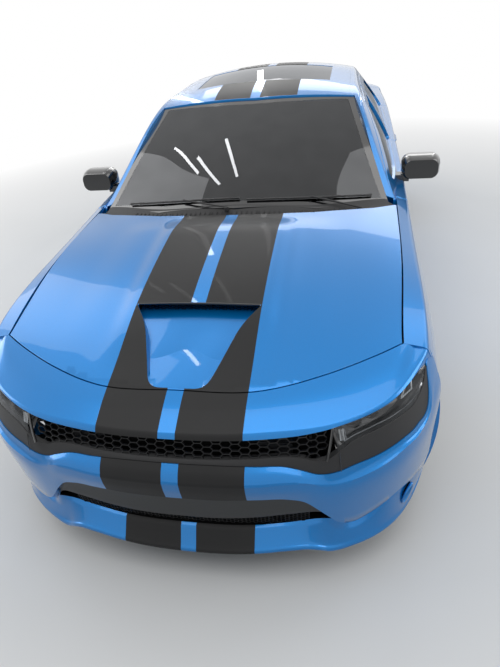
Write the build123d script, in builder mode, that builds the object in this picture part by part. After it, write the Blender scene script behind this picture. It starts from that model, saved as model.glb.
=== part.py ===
from build123d import *

import os
from math import cos, hypot, radians, sin, sqrt
from typing import NamedTuple

# A four-door muscle car with a scooped bonnet: separate panels, glass, running gear and cabin pieces.
# Millimetres. X is across the car (+X its left side), the nose points along -Y, +Z is up, the floor is z = 0.

os.makedirs("parts", exist_ok=True)

# Driving dimensions
NOSE_Y = -2515  # front of the bumper on the centre line
TAIL_Y = 2527  # rear of the bumper on the centre line
WHEELBASE = 3052
FRONT_AXLE_Y = -1575
REAR_AXLE_Y = FRONT_AXLE_Y + WHEELBASE
TRACK = 1610
WHEEL_X = TRACK / 2
TYRE_RADIUS = 364
TYRE_WIDTH = 245
RIM_RADIUS = 254
RIM_WIDTH = 228
ARCH_RADIUS = 396
WHEEL_HOUSE_RADIUS = 432
PANEL_GAP = 6
FIT_GAP = 0.4

SCOOP_END_Y = -1850
FRAME_DEPTH = 44
ROOF_DEPTH = 26
INNER_FRAME = 38

# Wall thicknesses
FASCIA_WALL = 40
FENDER_WALL = 14
QUARTER_WALL = 60
DOOR_DEPTH = 130
HOOD_THICK = 26
DECK_THICK = 30


class Rib(NamedTuple):
    """An upright section of the lower body: its widest point in plan, the way it faces, and its outline inwards."""

    x: float
    y: float
    facing: float
    low_in: float
    low_z: float
    mid_z: float
    shoulder_in: float
    shoulder_z: float
    top_in: float
    top_z: float
    round: float


# x, y, facing, low_in, low_z, mid_z, shoulder_in, shoulder_z, top_in, top_z, round
RIBS = [
    Rib(0, NOSE_Y, 0, 22, 190, 500, 62, 738, 215, 800, 34),
    Rib(330, -2495, 7, 22, 190, 500, 62, 742, 208, 805, 34),
    Rib(600, -2430, 20, 24, 190, 505, 64, 752, 236, 819, 34),
    Rib(785, -2310, 42, 28, 192, 520, 66, 776, 220, 833, 34),
    Rib(885, -2165, 68, 34, 196, 545, 68, 812, 178, 843, 34),
    Rib(928, -2060, 90, 42, 200, 575, 70, 836, 150, 852, 34),
    Rib(945, FRONT_AXLE_Y, 90, 52, 200, 600, 78, 915, 142, 936, 34),
    Rib(936, -1000, 90, 58, 200, 595, 64, 952, 120, 972, 30),
    Rib(928, -400, 90, 60, 200, 590, 50, 984, 92, 995, 16),
    Rib(928, 300, 90, 60, 200, 595, 48, 1002, 86, 1013, 16),
    Rib(938, 900, 90, 58, 205, 610, 60, 1022, 112, 1036, 18),
    Rib(950, REAR_AXLE_Y, 90, 52, 215, 640, 86, 1046, 200, 1064, 34),
    Rib(942, 1760, 90, 50, 225, 640, 90, 1050, 264, 1074, 34),
    Rib(928, 2060, 90, 50, 235, 640, 92, 1050, 252, 1084, 34),
    Rib(868, 2305, 116, 46, 250, 630, 82, 1052, 236, 1090, 34),
    Rib(700, 2450, 144, 40, 262, 620, 70, 1056, 200, 1096, 34),
    Rib(360, 2511, 168, 36, 270, 610, 62, 1064, 180, 1106, 34),
    Rib(0, TAIL_Y, 180, 34, 272, 610, 60, 1068, 176, 1112, 34),
]
FRONT_RIBS = RIBS[:6]
SIDE_RIBS = RIBS[5:14]
REAR_RIBS = RIBS[13:]


class Arch(NamedTuple):
    """A cross-section of the cabin: foot, rail over the side glass, crown on the centre line."""

    y: float
    foot_x: float
    foot_z: float
    rail_x: float
    rail_z: float
    crown_z: float
    bulge: float
    round: float


# y, foot_x, foot_z, rail_x, rail_z, crown_z, bulge, round
CABIN = [
    Arch(-1130, 884, 790, 864, 850, 1016, 1, 10),
    Arch(-936, 872, 850, 814, 962, 1110, 3, 16),
    Arch(-634, 868, 930, 717, 1158, 1242, 10, 24),
    Arch(-208, 872, 940, 626, 1370, 1412, 16, 34),
    Arch(150, 874, 945, 604, 1402, 1460, 18, 40),
    Arch(500, 876, 950, 596, 1412, 1478, 18, 40),
    Arch(850, 880, 950, 592, 1396, 1462, 18, 40),
    Arch(1150, 880, 960, 600, 1336, 1402, 16, 40),
    Arch(1450, 868, 975, 640, 1220, 1284, 10, 36),
    Arch(1750, 836, 985, 704, 1092, 1136, 3, 20),
]


class Bow(NamedTuple):
    """A cross-section of the bonnet or boot lid: edge and crown heights, with its half width."""

    y: float
    edge_x: float
    edge_z: float
    crown_z: float


# y, edge_x, edge_z, crown_z
HOOD_BOWS = [
    Bow(-2360, 815, 770, 783),
    Bow(-2189, 815, 815, 832),
    Bow(-2060, 815, 850, 866),
    Bow(-1800, 815, 903, 922),
    Bow(-1500, 815, 946, 970),
    Bow(-1150, 815, 966, 1006),
    Bow(-900, 815, 974, 1016),
]
DECK_BOWS = [
    Bow(1660, 690, 1068, 1140),
    Bow(1900, 690, 1078, 1134),
    Bow(2150, 690, 1086, 1124),
    Bow(2360, 690, 1090, 1110),
]
HOOD_PLAN = [
    (0, -2300), (305, -2289), (520, -2209), (638, -2147), (720, -2098), (776, -2060), (778, -2000), (785, -1880),
    (793, -1760), (802, -1600), (808, -1420), (816, -1000), (700, -1058), (400, -1140), (0, -1170),
]
COWL_DROP = 12
COWL_THICK = 28
HOOD_HINGE_Y = -978
HOOD_HINGE_Z = 978
DECK_PLAN = [(664, 1728), (668, 2040), (648, 2196), (573, 2286), (330, 2340), (0, 2356)]
DECK_HINGE_Y = 1722
DECK_HINGE_Z = 1146
TAIL_PANEL_HALF = 562
TAIL_PANEL_LOW_Z = 800
TAIL_DEPTH = 80

# Scoop in the bonnet: a sunken ramp that ends in a mouth under a raised dome
MOUTH_Y = -1915
MOUTH_HALF = 250
RAMP_REAR_Y = -2020
RAMP_REAR_HALF = 190
RAMP_FRONT_Y = -2285
RAMP_FRONT_HALF = 104
RAMP_DROP = 34
DOME_RISE = 26
DOME_HALF = 345
DOME_REAR_Y = -1240
SCOOP_WALL = 14

# Doors, seen from the side
RAKE = 0.36
RAKE_FROM_X = 400
DOOR_FRONT_Y = -956
DOOR_SPLIT_Y = 168
DOOR_REAR_Y = 1208
DOOR_LOW_Z = 262
SILL_LOW_Z = 200
BELT_Z = 1010
RAIL_DROP = 40
WINDOW_FRAME = 42
SPLIT_HEIGHTS = (1040, 985, 880, 740, 450)
APERTURE_INSET = 30
TOP_CLEARANCE = 14
HINGE_IN = 40
HINGE_AHEAD = 68
HINGE_HEIGHTS = (440, 680)
HINGE_PIN_RADIUS = 6
SWING_IN = 68  # how far inboard of its pin a door's leading end is rounded to swing past the panel ahead
SWING_HEIGHTS = (262, 340, 480, 630, 780, 840, 880, 920, 966)
LEAF_REACH = (78, 28)  # in and back from the pin to a leaf's foot on its door
LEAF_WIDTH = 20
LEAF_THICK = 30
EAR_THICK = 12
EAR_ROOM = 6
INNER_SIDE_X = 740
INNER_SIDE_THICK = 50
HINGE_POST_X = 832
FRONT_FOOT_X = 802  # inboard of this the front door has nothing ahead of FRONT_FOOT_Y
FRONT_FOOT_Y = -886

FENDER_END_Y = DOOR_FRONT_Y + 42
REAR_DOOR_EDGE_Y = DOOR_SPLIT_Y + PANEL_GAP
PILLAR_OUT_X = INNER_SIDE_X + INNER_SIDE_THICK

# Wheels, steering and brakes
KINGPIN_IN = 80
HUB_RADIUS = 72
HUB_INNER = 50
HUB_OUTER = 86
DISC_RADIUS = 178
DISC_INNER = 30
DISC_OUTER = 2
BARREL_RADIUS = 238
SPOKES = 5
KNUCKLE_DEPTH = 56
CALIPER_RADIUS = 208
STEERING_WHEEL_RADIUS = 182
COLUMN_X = 370
COLUMN_Y = -610
COLUMN_Z = 830
COLUMN_TILT = 24

# Cabin floor and seats
FLOOR_Z = 165
FLOOR_THICK = 24
SEAT_X = 370
SEAT_WIDTH = 520
SEAT_Z = 300
SEAT_Y = -60


# Nose lip, tail lamps and exhaust
LIP_LOW_Z = 168
LAMP_HALF = 800
LAMP_Z = (856, 952)
EXHAUST_X = 590

# Door mirror
MIRROR_X = 962
MIRROR_Y = -600
MIRROR_Z = 1040
MIRROR_WIDTH = 206
MIRROR_HEIGHT = 130

# Suspension
SPOKE_X = 62
SPOKE_THICK = 34
KNUCKLE_IN = 66
CALIPER_OUT = 22
BALL_UP = 150
BALL_DOWN = 150
BEAM_HALF = 330
BEAM_Z = 190
TOWER_X = 448
ARM_THICK = 22
SPRING_X = 560
SPRING_RADIUS = 46
HALFSHAFT_RADIUS = 18
DIFF_RADIUS = 118
DIFF_HALF = 130

# Floor, bulkhead and wheel houses
FLOOR_HALF = 738
BULKHEAD_Y = -1085
BULKHEAD_TOP_Z = 936
STEP_Y = 470
PAN_Z = 262
PAN_END_Y = 1000
AXLE_FLOOR_Z = 500
BOOT_FLOOR_Z = 330
BOOT_FLOOR_END_Y = 2300
TUNNEL_LOW = 130
TUNNEL_TOP = 90
TUNNEL_Z = 290
SHEET = 8
FRONT_HOUSE_X = 462
REAR_HOUSE_X = 640
HOUSE_OUTER_X = 915
HOUSE_MARGIN = 30
HOUSE_LOW_Z = 330
HOUSE_WINDOW = 150
HOUSE_WINDOW_Z = 600
RAIL_X = 405
RAIL_HALF = 29.6
RAIL_Z = 420
SHELF_HALF = 600
SHELF_FRONT_Y = 1130
SHELF_REAR_Y = 1690
SHELF_Z = 1000
RADIATOR_Y = -2345
APRON_Z = 800
FRONT_SPRING_TOP_Z = TYRE_RADIUS + sqrt(WHEEL_HOUSE_RADIUS**2 - SPRING_RADIUS**2) - FIT_GAP
REAR_SPRING_TOP_Z = HOUSE_WINDOW_Z - FIT_GAP
HOOD_STOP = (466, -2120)
STOP_RADIUS = 14
DECK_SEAT_TOP_Z = 1075
DECK_SEAT_DEPTH = 60

# Engine and exhaust
ENGINE_HALF = 250
ENGINE_Y = (-1960, -1130)
ENGINE_Z = (262, 790)
ENGINE_MOUNT_HALF = RAIL_X - RAIL_HALF - FIT_GAP
ENGINE_MOUNT_Y = (-1580, -1500)
ENGINE_MOUNT_Z = (RAIL_Z + 10, RAIL_Z + 70)
PIPE_RADIUS = 28
PIPE_Z = 216
MUFFLER_Y = (1930, 2250)
MUFFLER_WIDTH = 270
MUFFLER_HEIGHT = 130
MUFFLER_Z = 252
TIP_RADIUS = 40
HANGER_HALF = 24
HANGER_Y = 2100
TIP_Z = 272
TIP_END_Y = 2506

# Cabin pieces
REAR_SEAT_HALF = 600
SEAT_LEAN = 20
DASH_HALF = 680

class Lip(NamedTuple):
    """A section of the nose's lip: a rib's place and facing, how far the blade stands out and its wall's top."""

    x: float
    y: float
    facing: float
    out: float
    top_z: float


# x, y, facing, out, top_z
LIP = [
    Lip(0, NOSE_Y, 0, 12, 254),
    Lip(330, -2495, 7, 12, 254),
    Lip(600, -2430, 20, 12, 250),
    Lip(785, -2310, 42, 12, 256),
    Lip(885, -2165, 68, 10, 285),
    Lip(922, -2061, 90, 6, 310),
]


def at(table, y, name):
    """The named column of a table at station y."""
    rows = sorted(table, key=lambda row: row.y)
    y = min(max(y, rows[0].y), rows[-1].y)
    for low, high in zip(rows, rows[1:]):
        if y <= high.y:
            share = (y - low.y) / (high.y - low.y)
            return getattr(low, name) * (1 - share) + getattr(high, name) * share
    return getattr(rows[-1], name)


def outer_x(y, z):
    """How far out the car's side stands at a station and height."""
    mid_z, shoulder_z = at(SIDE_RIBS, y, "mid_z"), at(SIDE_RIBS, y, "shoulder_z")
    if z < mid_z:
        return at(SIDE_RIBS, y, "x") - at(SIDE_RIBS, y, "low_in") * ((mid_z - z) / (mid_z - at(SIDE_RIBS, y, "low_z"))) ** 2
    if z <= shoulder_z:
        return at(SIDE_RIBS, y, "x") - at(SIDE_RIBS, y, "shoulder_in") * ((z - mid_z) / (shoulder_z - mid_z)) ** 2
    foot = (at(CABIN, y, "foot_x"), at(CABIN, y, "foot_z"))
    rail = (at(CABIN, y, "rail_x"), at(CABIN, y, "rail_z"))
    return foot[0] + (rail[0] - foot[0]) * (z - foot[1]) / (rail[1] - foot[1])


def hood_z(y):
    """Height of the bonnet on its centre line."""
    return at(HOOD_BOWS, y, "crown_z")


def rib_plane(rib, side=1):
    """The upright plane of a rib: x outwards, y up."""
    out = (side * sin(radians(rib.facing)), -cos(radians(rib.facing)), 0)
    return Plane(origin=(side * rib.x, rib.y, 0), x_dir=out, z_dir=(out[1], -out[0], 0))


def rib_section(rib, outer, inner, side=1, flat_inside=False):
    """One rib's wall between two depths, from its foot over the shoulder to the lid's edge."""
    foot = (-rib.low_in - outer, rib.low_z)
    shoulder = (-rib.shoulder_in - outer, rib.shoulder_z - outer)
    top = (-rib.top_in, rib.top_z - outer)
    under_top = (-rib.top_in, rib.top_z - inner)
    under_shoulder = (-rib.shoulder_in - inner, rib.shoulder_z - inner)
    inner_foot = (-rib.low_in - inner, rib.low_z)
    with BuildSketch(rib_plane(rib, side)) as section:
        with BuildLine():
            ThreePointArc(foot, (-outer, rib.mid_z), shoulder)
            if flat_inside:
                Polyline(shoulder, top, (-inner, rib.top_z - inner / 4), (-inner, rib.low_z), foot)
            else:
                Polyline(shoulder, top, under_top, under_shoulder)
                ThreePointArc(under_shoulder, (-inner, rib.mid_z), inner_foot)
                Line(inner_foot, foot)
        make_face()
        corner = section.vertices().sort_by_distance(shoulder)[0]
        fillet(corner, rib.round)
    return section.sketch


def side_layer(outer, inner, flat_inside=False):
    """The left side of the lower body between two depths."""
    with BuildPart() as wall:
        loft([rib_section(rib, outer, inner, 1, flat_inside) for rib in SIDE_RIBS])
    return wall.part


def end_layer(ribs, outer, inner):
    """The nose or tail between two depths, from one side of the car round to the other."""
    centre = min(ribs, key=lambda rib: abs(rib.x))
    half = [rib for rib in sorted(ribs, key=lambda rib: rib.x) if rib is not centre]
    order = [(rib, -1) for rib in reversed(half)] + [(centre, 1)] + [(rib, 1) for rib in half]
    with BuildPart() as wall:
        loft([rib_section(rib, outer, inner, side) for rib, side in order])
    return wall.part


def cabin_section(arch, inset):
    """The closed cross-section of the cabin at one station, taken in by inset."""
    foot = (arch.foot_x - inset, arch.foot_z - inset * 0.9)
    rail = (arch.rail_x - inset, arch.rail_z - inset * 0.81)
    crown = (0, arch.crown_z - inset * 0.9)
    middle = ((foot[0] + rail[0]) / 2 + arch.bulge * 0.87, (foot[1] + rail[1]) / 2 + arch.bulge * 0.5)
    with BuildSketch(Plane(origin=(0, arch.y, 0), x_dir=(1, 0, 0), z_dir=(0, -1, 0))) as section:
        with BuildLine():
            Line((-foot[0], foot[1]), foot)
            ThreePointArc(foot, middle, rail)
            ThreePointArc(rail, crown, (-rail[0], rail[1]))
            ThreePointArc((-rail[0], rail[1]), (-middle[0], middle[1]), (-foot[0], foot[1]))
        make_face()
        corners = [section.vertices().sort_by_distance((s * rail[0], rail[1]))[0] for s in (1, -1)]
        fillet(corners, arch.round)
    return section.sketch


def cabin_body(inset):
    """The whole cabin as one solid, taken in by inset."""
    with BuildPart() as shape:
        loft([cabin_section(arch, inset) for arch in CABIN])
    return shape.part


def cabin_layer(outer, inner):
    """The cabin's side and top between two depths."""
    with BuildPart() as layer:
        add(cabin_body(outer))
        add(cabin_body(inner), mode=Mode.SUBTRACT)
    return layer.part


def bow_body(bows, thick):
    """A crowned sheet through the bows."""
    sections = []
    for bow in bows:
        ends = [(-bow.edge_x, bow.edge_z), (bow.edge_x, bow.edge_z)]
        with BuildSketch(Plane(origin=(0, bow.y, 0), x_dir=(1, 0, 0), z_dir=(0, -1, 0))) as section:
            with BuildLine():
                ThreePointArc(ends[0], (0, bow.crown_z), ends[1])
                Line(ends[1], (bow.edge_x, bow.edge_z - thick))
                ThreePointArc((bow.edge_x, bow.edge_z - thick), (0, bow.crown_z - thick),
                              (-bow.edge_x, bow.edge_z - thick))
                Line((-bow.edge_x, bow.edge_z - thick), ends[0])
            make_face()
        sections.append(section.sketch)
    with BuildPart() as sheet:
        loft(sections)
    return sheet.part


def prism(plane, corners, amount, grow=0.0, direction=None):
    """A block over an outline of (x, y, corner radius) rows on a plane, its sides moved out by grow."""
    with BuildPart() as block:
        with BuildSketch(plane):
            with BuildLine():
                FilletPolyline(*[corner[:2] for corner in corners], radius=[corner[2] for corner in corners],
                               close=True)
            make_face()
            if grow:
                offset(amount=grow, kind=Kind.INTERSECTION, mode=Mode.REPLACE)
        extrude(amount=amount, dir=direction)
    return block.part


def plan_prism(half, low_z, high_z, grow=0.0):
    """A block straight up over an outline in plan, given by its half on the left from the front to the back."""
    right = [(-x, y) for x, y in reversed(half) if x > 0]
    corners = [(x, y, 0) for x, y in half + right]
    return prism(Plane.XY.offset(low_z), corners, high_z - low_z, grow)


def front_prism(corners, grow=0.0, from_y=-2700, depth=700):
    """A block straight back through the nose over an outline in (x, z, radius)."""
    plane = Plane(origin=(0, from_y, 0), x_dir=(1, 0, 0), z_dir=(0, -1, 0))
    return prism(plane, corners, -depth, grow)


def door_prism(outline, grow=0.0):
    """A block out through the side over a door's outline, raked the way the door swings out."""
    corners = [(y - RAKE * (outer_x(y, z) - RAKE_FROM_X), z, radius) for y, z, radius in outline]
    return prism(Plane.YZ.offset(RAKE_FROM_X), corners, 1100 - RAKE_FROM_X, grow, (1, RAKE, 0))


def side_prism(outline, grow=0.0):
    """A block straight out through the side over an outline in (y, z, radius)."""
    return prism(Plane.YZ.offset(RAKE_FROM_X), outline, 1100 - RAKE_FROM_X, grow)


def block(x, y, z):
    """A plain block between two limits on each axis."""
    with BuildPart() as body:
        with BuildSketch(Plane.XY.offset(z[0])):
            with Locations(((x[0] + x[1]) / 2, (y[0] + y[1]) / 2)):
                Rectangle(x[1] - x[0], y[1] - y[0])
        extrude(amount=z[1] - z[0])
    return body.part


def wheel_cylinder(axle_y, radius, x):
    """A cylinder round an axle between two distances from the middle of the car."""
    with BuildPart() as body:
        with BuildSketch(Plane.YZ.offset(x[0])):
            with Locations((axle_y, TYRE_RADIUS)):
                Circle(radius)
        extrude(amount=x[1] - x[0])
    return body.part


def link(start, end, width, z):
    """A flat bar with round ends between two points in plan and two heights."""
    run = Vector(*end) - Vector(*start)
    middle = (Vector(*start) + Vector(*end)) * 0.5
    with BuildPart() as bar:
        with BuildSketch(Plane(origin=(middle.X, middle.Y, z[0]), x_dir=run, z_dir=(0, 0, 1))):
            SlotCenterToCenter(run.length, width)
        extrude(amount=z[1] - z[0])
    return bar.part


def pin(centre, radius, z):
    """An upright pin between two heights."""
    with BuildPart() as shaft:
        with BuildSketch(Plane.XY.offset(z[0])):
            with Locations(centre):
                Circle(radius)
        extrude(amount=z[1] - z[0])
    return shaft.part


def hinge_axis(edge_y):
    """Where the pin of a door stands in plan, from the door's front edge."""
    return (at(SIDE_RIBS, edge_y, "x") - HINGE_IN, edge_y - HINGE_AHEAD)


def hinge_leaves(edge_y):
    """The leaves that a door's front face carries round its two pins."""
    axis = hinge_axis(edge_y)
    foot = (axis[0] - LEAF_REACH[0], axis[1] + LEAF_REACH[1])
    with BuildPart() as leaves:
        for height in HINGE_HEIGHTS:
            slab = (height - LEAF_THICK / 2, height + LEAF_THICK / 2)
            add(link(axis, foot, LEAF_WIDTH, slab))
            add(pin(axis, HINGE_PIN_RADIUS + FIT_GAP, slab), mode=Mode.SUBTRACT)
    return leaves.part


def hinge_ears(edge_y, foot):
    """The ears on a pillar above and below each leaf, with the pin that joins them."""
    axis = hinge_axis(edge_y)
    near = LEAF_THICK / 2 + FIT_GAP
    with BuildPart() as ears:
        for height in HINGE_HEIGHTS:
            add(link(axis, foot, LEAF_WIDTH, (height + near, height + near + EAR_THICK)))
            add(link(axis, foot, LEAF_WIDTH, (height - near - EAR_THICK, height - near)))
            add(pin(axis, HINGE_PIN_RADIUS, (height - near - EAR_THICK, height + near + EAR_THICK)))
    return ears.part


def hinge_room(edge_y, inside_x):
    """The pockets in the front door's rear end for the rear door's hinges."""
    axis = hinge_axis(edge_y)
    with BuildPart() as pockets:
        for height in HINGE_HEIGHTS:
            reach = LEAF_THICK / 2 + EAR_THICK + EAR_ROOM
            add(block((inside_x, axis[0] + HINGE_PIN_RADIUS + EAR_ROOM),
                      (axis[1] - LEAF_WIDTH / 2 - 2 * EAR_ROOM - 4, edge_y + 40), (height - reach, height + reach)))
    return pockets.part


def edge_at(outline, z):
    """Where the leading edge of a door's skin stands at a height: how far out and its station."""
    for (low_y, low_z, _), (high_y, high_z, _) in zip(outline, outline[1:]):
        if low_z <= z <= high_z:
            share = (z - low_z) / (high_z - low_z)
            skin_x = outer_x(low_y + (high_y - low_y) * share, z)
            low, high = (y - RAKE * outer_x(y, height) for y, height in ((low_y, low_z), (high_y, high_z)))
            return skin_x, low + (high - low) * share + RAKE * skin_x
    return outer_x(outline[0][0], z), outline[0][0]


def swing_room(edge_y, outline):
    """The round room about a door's pin, out to the edge of its skin, that its leading end leaves free."""
    axis = hinge_axis(edge_y)
    edges = [edge_at(outline, z) for z in SWING_HEIGHTS]
    reach = [(hypot(edge[0] - axis[0], edge[1] - axis[1]), z) for edge, z in zip(edges, SWING_HEIGHTS)]
    with BuildPart() as room:
        with BuildSketch(across(axis[0], axis[1], 0)):
            with BuildLine():
                Polyline((0, SWING_HEIGHTS[0]), *reach, (0, SWING_HEIGHTS[-1]), close=True)
            make_face()
        revolve(axis=Axis((axis[0], axis[1], 0), (0, 0, 1)))
        add(block((axis[0] - SWING_IN, 1100), (axis[1] - 1, axis[1] + 200), (0, BELT_Z)), mode=Mode.INTERSECT)
    return room.part


def across(x, y, z):
    """The plane that faces along the car's side at a point: x out to the left, y up."""
    return Plane(origin=(x, y, z), x_dir=(1, 0, 0), z_dir=(0, -1, 0))


def export(piece, name):
    """Label a finished piece and write it."""
    piece.part.label = name
    export_step(piece.part, f"parts/{name}.step")


def frame_line(y, drop=RAIL_DROP):
    """A corner of a door's outline under the roof rail."""
    return (y, at(CABIN, y, "rail_z") - drop, 0)


def split_line(y):
    """Corners that hold the line between the doors upright where the car's side curves, from the belt down."""
    return [(y, z, 0) for z in SPLIT_HEIGHTS]


FRONT_DOOR = [
    (DOOR_FRONT_Y + 30, DOOR_LOW_Z, 30), (DOOR_FRONT_Y - 4, 480, 0), (DOOR_FRONT_Y, 780, 120),
    (DOOR_FRONT_Y + 44, 966, 0), frame_line(-640), frame_line(-420), frame_line(-208),
    (DOOR_SPLIT_Y, at(CABIN, DOOR_SPLIT_Y, "rail_z") - RAIL_DROP, 12), *split_line(DOOR_SPLIT_Y),
    (DOOR_SPLIT_Y, DOOR_LOW_Z, 12),
]
REAR_DOOR = [
    (REAR_DOOR_EDGE_Y, DOOR_LOW_Z, 12), *reversed(split_line(REAR_DOOR_EDGE_Y)),
    (REAR_DOOR_EDGE_Y, at(CABIN, DOOR_SPLIT_Y, "rail_z") - RAIL_DROP, 12),
    frame_line(500), frame_line(850), (1080, at(CABIN, 1080, "rail_z") - RAIL_DROP - 4, 60),
    (DOOR_REAR_Y, 1130, 60), (DOOR_REAR_Y - 4, 980, 60), (1110, 700, 120), (1000, 440, 60), (984, DOOR_LOW_Z, 20),
]
FRAME_DROP = RAIL_DROP + WINDOW_FRAME
FRONT_WINDOW = [
    (-806, BELT_Z - 4, 20), frame_line(-640, FRAME_DROP - 6), frame_line(-420, FRAME_DROP), frame_line(-208, FRAME_DROP),
    (DOOR_SPLIT_Y - 52, at(CABIN, DOOR_SPLIT_Y - 52, "rail_z") - FRAME_DROP, 14), (DOOR_SPLIT_Y - 52, BELT_Z + 24, 14),
]
REAR_WINDOW = [
    (DOOR_SPLIT_Y + 60, BELT_Z + 26, 14),
    (DOOR_SPLIT_Y + 60, at(CABIN, DOOR_SPLIT_Y + 60, "rail_z") - FRAME_DROP, 14),
    frame_line(500, FRAME_DROP), frame_line(850, FRAME_DROP), (1000, at(CABIN, 1000, "rail_z") - FRAME_DROP - 4, 30),
    (DOOR_REAR_Y - 66, 1150, 40), (DOOR_REAR_Y - 76, BELT_Z + 56, 20),
]

# Outlines in plan, the left half from the front to the back
WINDSHIELD_PLAN = [(0, -1118), (420, -1088), (776, -952), (690, -640), (594, -228), (0, -264)]
BACKLIGHT_PLAN = [(0, 1098), (560, 1120), (652, 1640), (606, 1696), (0, 1712)]
ROOF_PLAN = [(0, -260), (566, -224), (566, 1116), (0, 1094)]
SUNROOF_PLAN = [(0, 40), (440, 48), (440, 560), (0, 568)]
ROOF_INNER_PLAN = [(0, -300), (500, -262), (500, 1156), (0, 1134)]
COWL_PLAN = [(0, -1168), (400, -1138), (700, -1056), (798, -998), (798, -942), (762, -930), (420, -1060), (0, -1090)]

# The inner side under the belt in (y, z): hinge post, sill and rear post, before the doorways are cut
INNER_SIDE = [(-1068, 200), (985, 200), (1006, 420), (1090, 650), (1260, 850), (1560, 900), (1600, 960),
              (-838, 960), (-856, 943), (-1000, 930), (-1068, 900)]
COLUMN_PLANE = Plane(origin=(COLUMN_X, COLUMN_Y, COLUMN_Z), x_dir=(1, 0, 0),
                     z_dir=(0, cos(radians(COLUMN_TILT)), sin(radians(COLUMN_TILT))))

# Outlines of the nose in (x, z, radius)
GRILLE = [(-575, 734, 12), (-400, 729, 0), (0, 722, 0), (400, 729, 0), (575, 734, 12), (566, 652, 12),
          (400, 640, 0), (0, 634, 0), (-400, 640, 0), (-566, 652, 12)]
HEADLAMP = [(592, 664, 14), (588, 744, 14), (700, 768, 60), (898, 818, 10), (892, 780, 10), (770, 694, 60)]
INTAKE = [(-560, 468, 30), (560, 468, 30), (600, 400, 30), (520, 262, 30), (-520, 262, 30), (-600, 400, 30)]
DUCT = [(700, 440, 30), (850, 520, 30), (872, 470, 30), (820, 300, 40), (700, 262, 30), (650, 330, 40)]


# Front and rear clips
NOSE_WALL = end_layer(FRONT_RIBS, 0, FASCIA_WALL)
TAIL_WALL = end_layer(REAR_RIBS, 0, FASCIA_WALL)
left_half = block((0.01, 1200), (-3000, 3000), (0, 1600))


def mirrored_x(corners):
    """The same outline on the other side."""
    return [(-x, z, radius) for x, z, radius in reversed(corners)]


with BuildPart() as front_fascia:
    add(NOSE_WALL)
    add(front_prism(GRILLE), mode=Mode.SUBTRACT)
    add(front_prism(INTAKE), mode=Mode.SUBTRACT)
    for outline in (HEADLAMP, DUCT):
        add(front_prism(outline, depth=640), mode=Mode.SUBTRACT)
        add(front_prism(mirrored_x(outline), depth=640), mode=Mode.SUBTRACT)
export(front_fascia, "front_fascia")

with BuildPart() as headlamps:
    add(end_layer(FRONT_RIBS, 6, FASCIA_WALL + 30))
    add(front_prism(HEADLAMP, -FIT_GAP, depth=640) + front_prism(mirrored_x(HEADLAMP), -FIT_GAP, depth=640),
        mode=Mode.INTERSECT)
export(headlamps, "headlamps")

with BuildPart() as grilles:
    add(end_layer(FRONT_RIBS, FASCIA_WALL - 14, FASCIA_WALL - 2))
    add(front_prism(GRILLE, -FIT_GAP) + front_prism(INTAKE, -FIT_GAP), mode=Mode.INTERSECT)
export(grilles, "grilles")

with BuildPart() as splitter:
    sections = []
    order = [(row, -1) for row in reversed(LIP[1:])] + [(row, 1) for row in LIP]
    for row, side in order:
        with BuildSketch(rib_plane(row, side)) as section:
            with BuildLine():
                Polyline((row.out, LIP_LOW_Z), (row.out, LIP_LOW_Z + 16), (-24, LIP_LOW_Z + 34), (-56, row.top_z),
                         (-76, row.top_z), (-70, LIP_LOW_Z + 20), (-70, LIP_LOW_Z), close=True)
            make_face()
        sections.append(section.sketch)
    loft(sections)
    add(end_layer(FRONT_RIBS, -FIT_GAP, FASCIA_WALL + FIT_GAP), mode=Mode.SUBTRACT)
export(splitter, "splitter")

TAIL_PANEL = block((-TAIL_PANEL_HALF, TAIL_PANEL_HALF), (2150, 2700), (TAIL_PANEL_LOW_Z, 1300))
TAIL_OPENING = block((-TAIL_PANEL_HALF - PANEL_GAP, TAIL_PANEL_HALF + PANEL_GAP), (2150, 2700),
                     (TAIL_PANEL_LOW_Z - PANEL_GAP, 1300))
EXHAUST_CUT = [(-78, 230, 0), (78, 230, 0), (78, 318, 30), (-78, 318, 30)]

with BuildPart() as rear_fascia:
    add(TAIL_WALL)
    add(TAIL_OPENING, mode=Mode.SUBTRACT)
    add(block((-LAMP_HALF, LAMP_HALF), (2120, 2700), LAMP_Z), mode=Mode.SUBTRACT)
    for side in (1, -1):
        corners = [(x + side * EXHAUST_X, z, radius) for x, z, radius in EXHAUST_CUT]
        add(front_prism(corners, from_y=2200, depth=500), mode=Mode.SUBTRACT)
export(rear_fascia, "rear_fascia")

LENS_BAND = block((-LAMP_HALF + FIT_GAP, LAMP_HALF - FIT_GAP), (2120, 2700),
                  (LAMP_Z[0] + FIT_GAP, LAMP_Z[1] - FIT_GAP))
TAIL_GLASS = end_layer(REAR_RIBS, 5, FASCIA_WALL + 20)
with BuildPart() as tail_lamps:
    add(TAIL_GLASS)
    add(LENS_BAND, mode=Mode.INTERSECT)
    add(TAIL_OPENING, mode=Mode.SUBTRACT)
export(tail_lamps, "tail_lamps")

# Sides of the body, the left one made and the right one mirrored from it
FRONT_DOORWAY = door_prism(FRONT_DOOR, PANEL_GAP)
REAR_DOORWAY = door_prism(REAR_DOOR, PANEL_GAP)
LEFT_HALF = block((0, 1200), (-3000, 3000), (0, 1600))
FLANGE_DEPTH = FRAME_DEPTH + PANEL_GAP
GLASS_CUTS = [plan_prism(WINDSHIELD_PLAN, 700, 1600, FIT_GAP), plan_prism(BACKLIGHT_PLAN, 700, 1600, FIT_GAP)]
CABIN_SKIN = cabin_layer(0, FLANGE_DEPTH)
CABIN_FLANGE = cabin_layer(FLANGE_DEPTH, FLANGE_DEPTH + INNER_FRAME)

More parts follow.
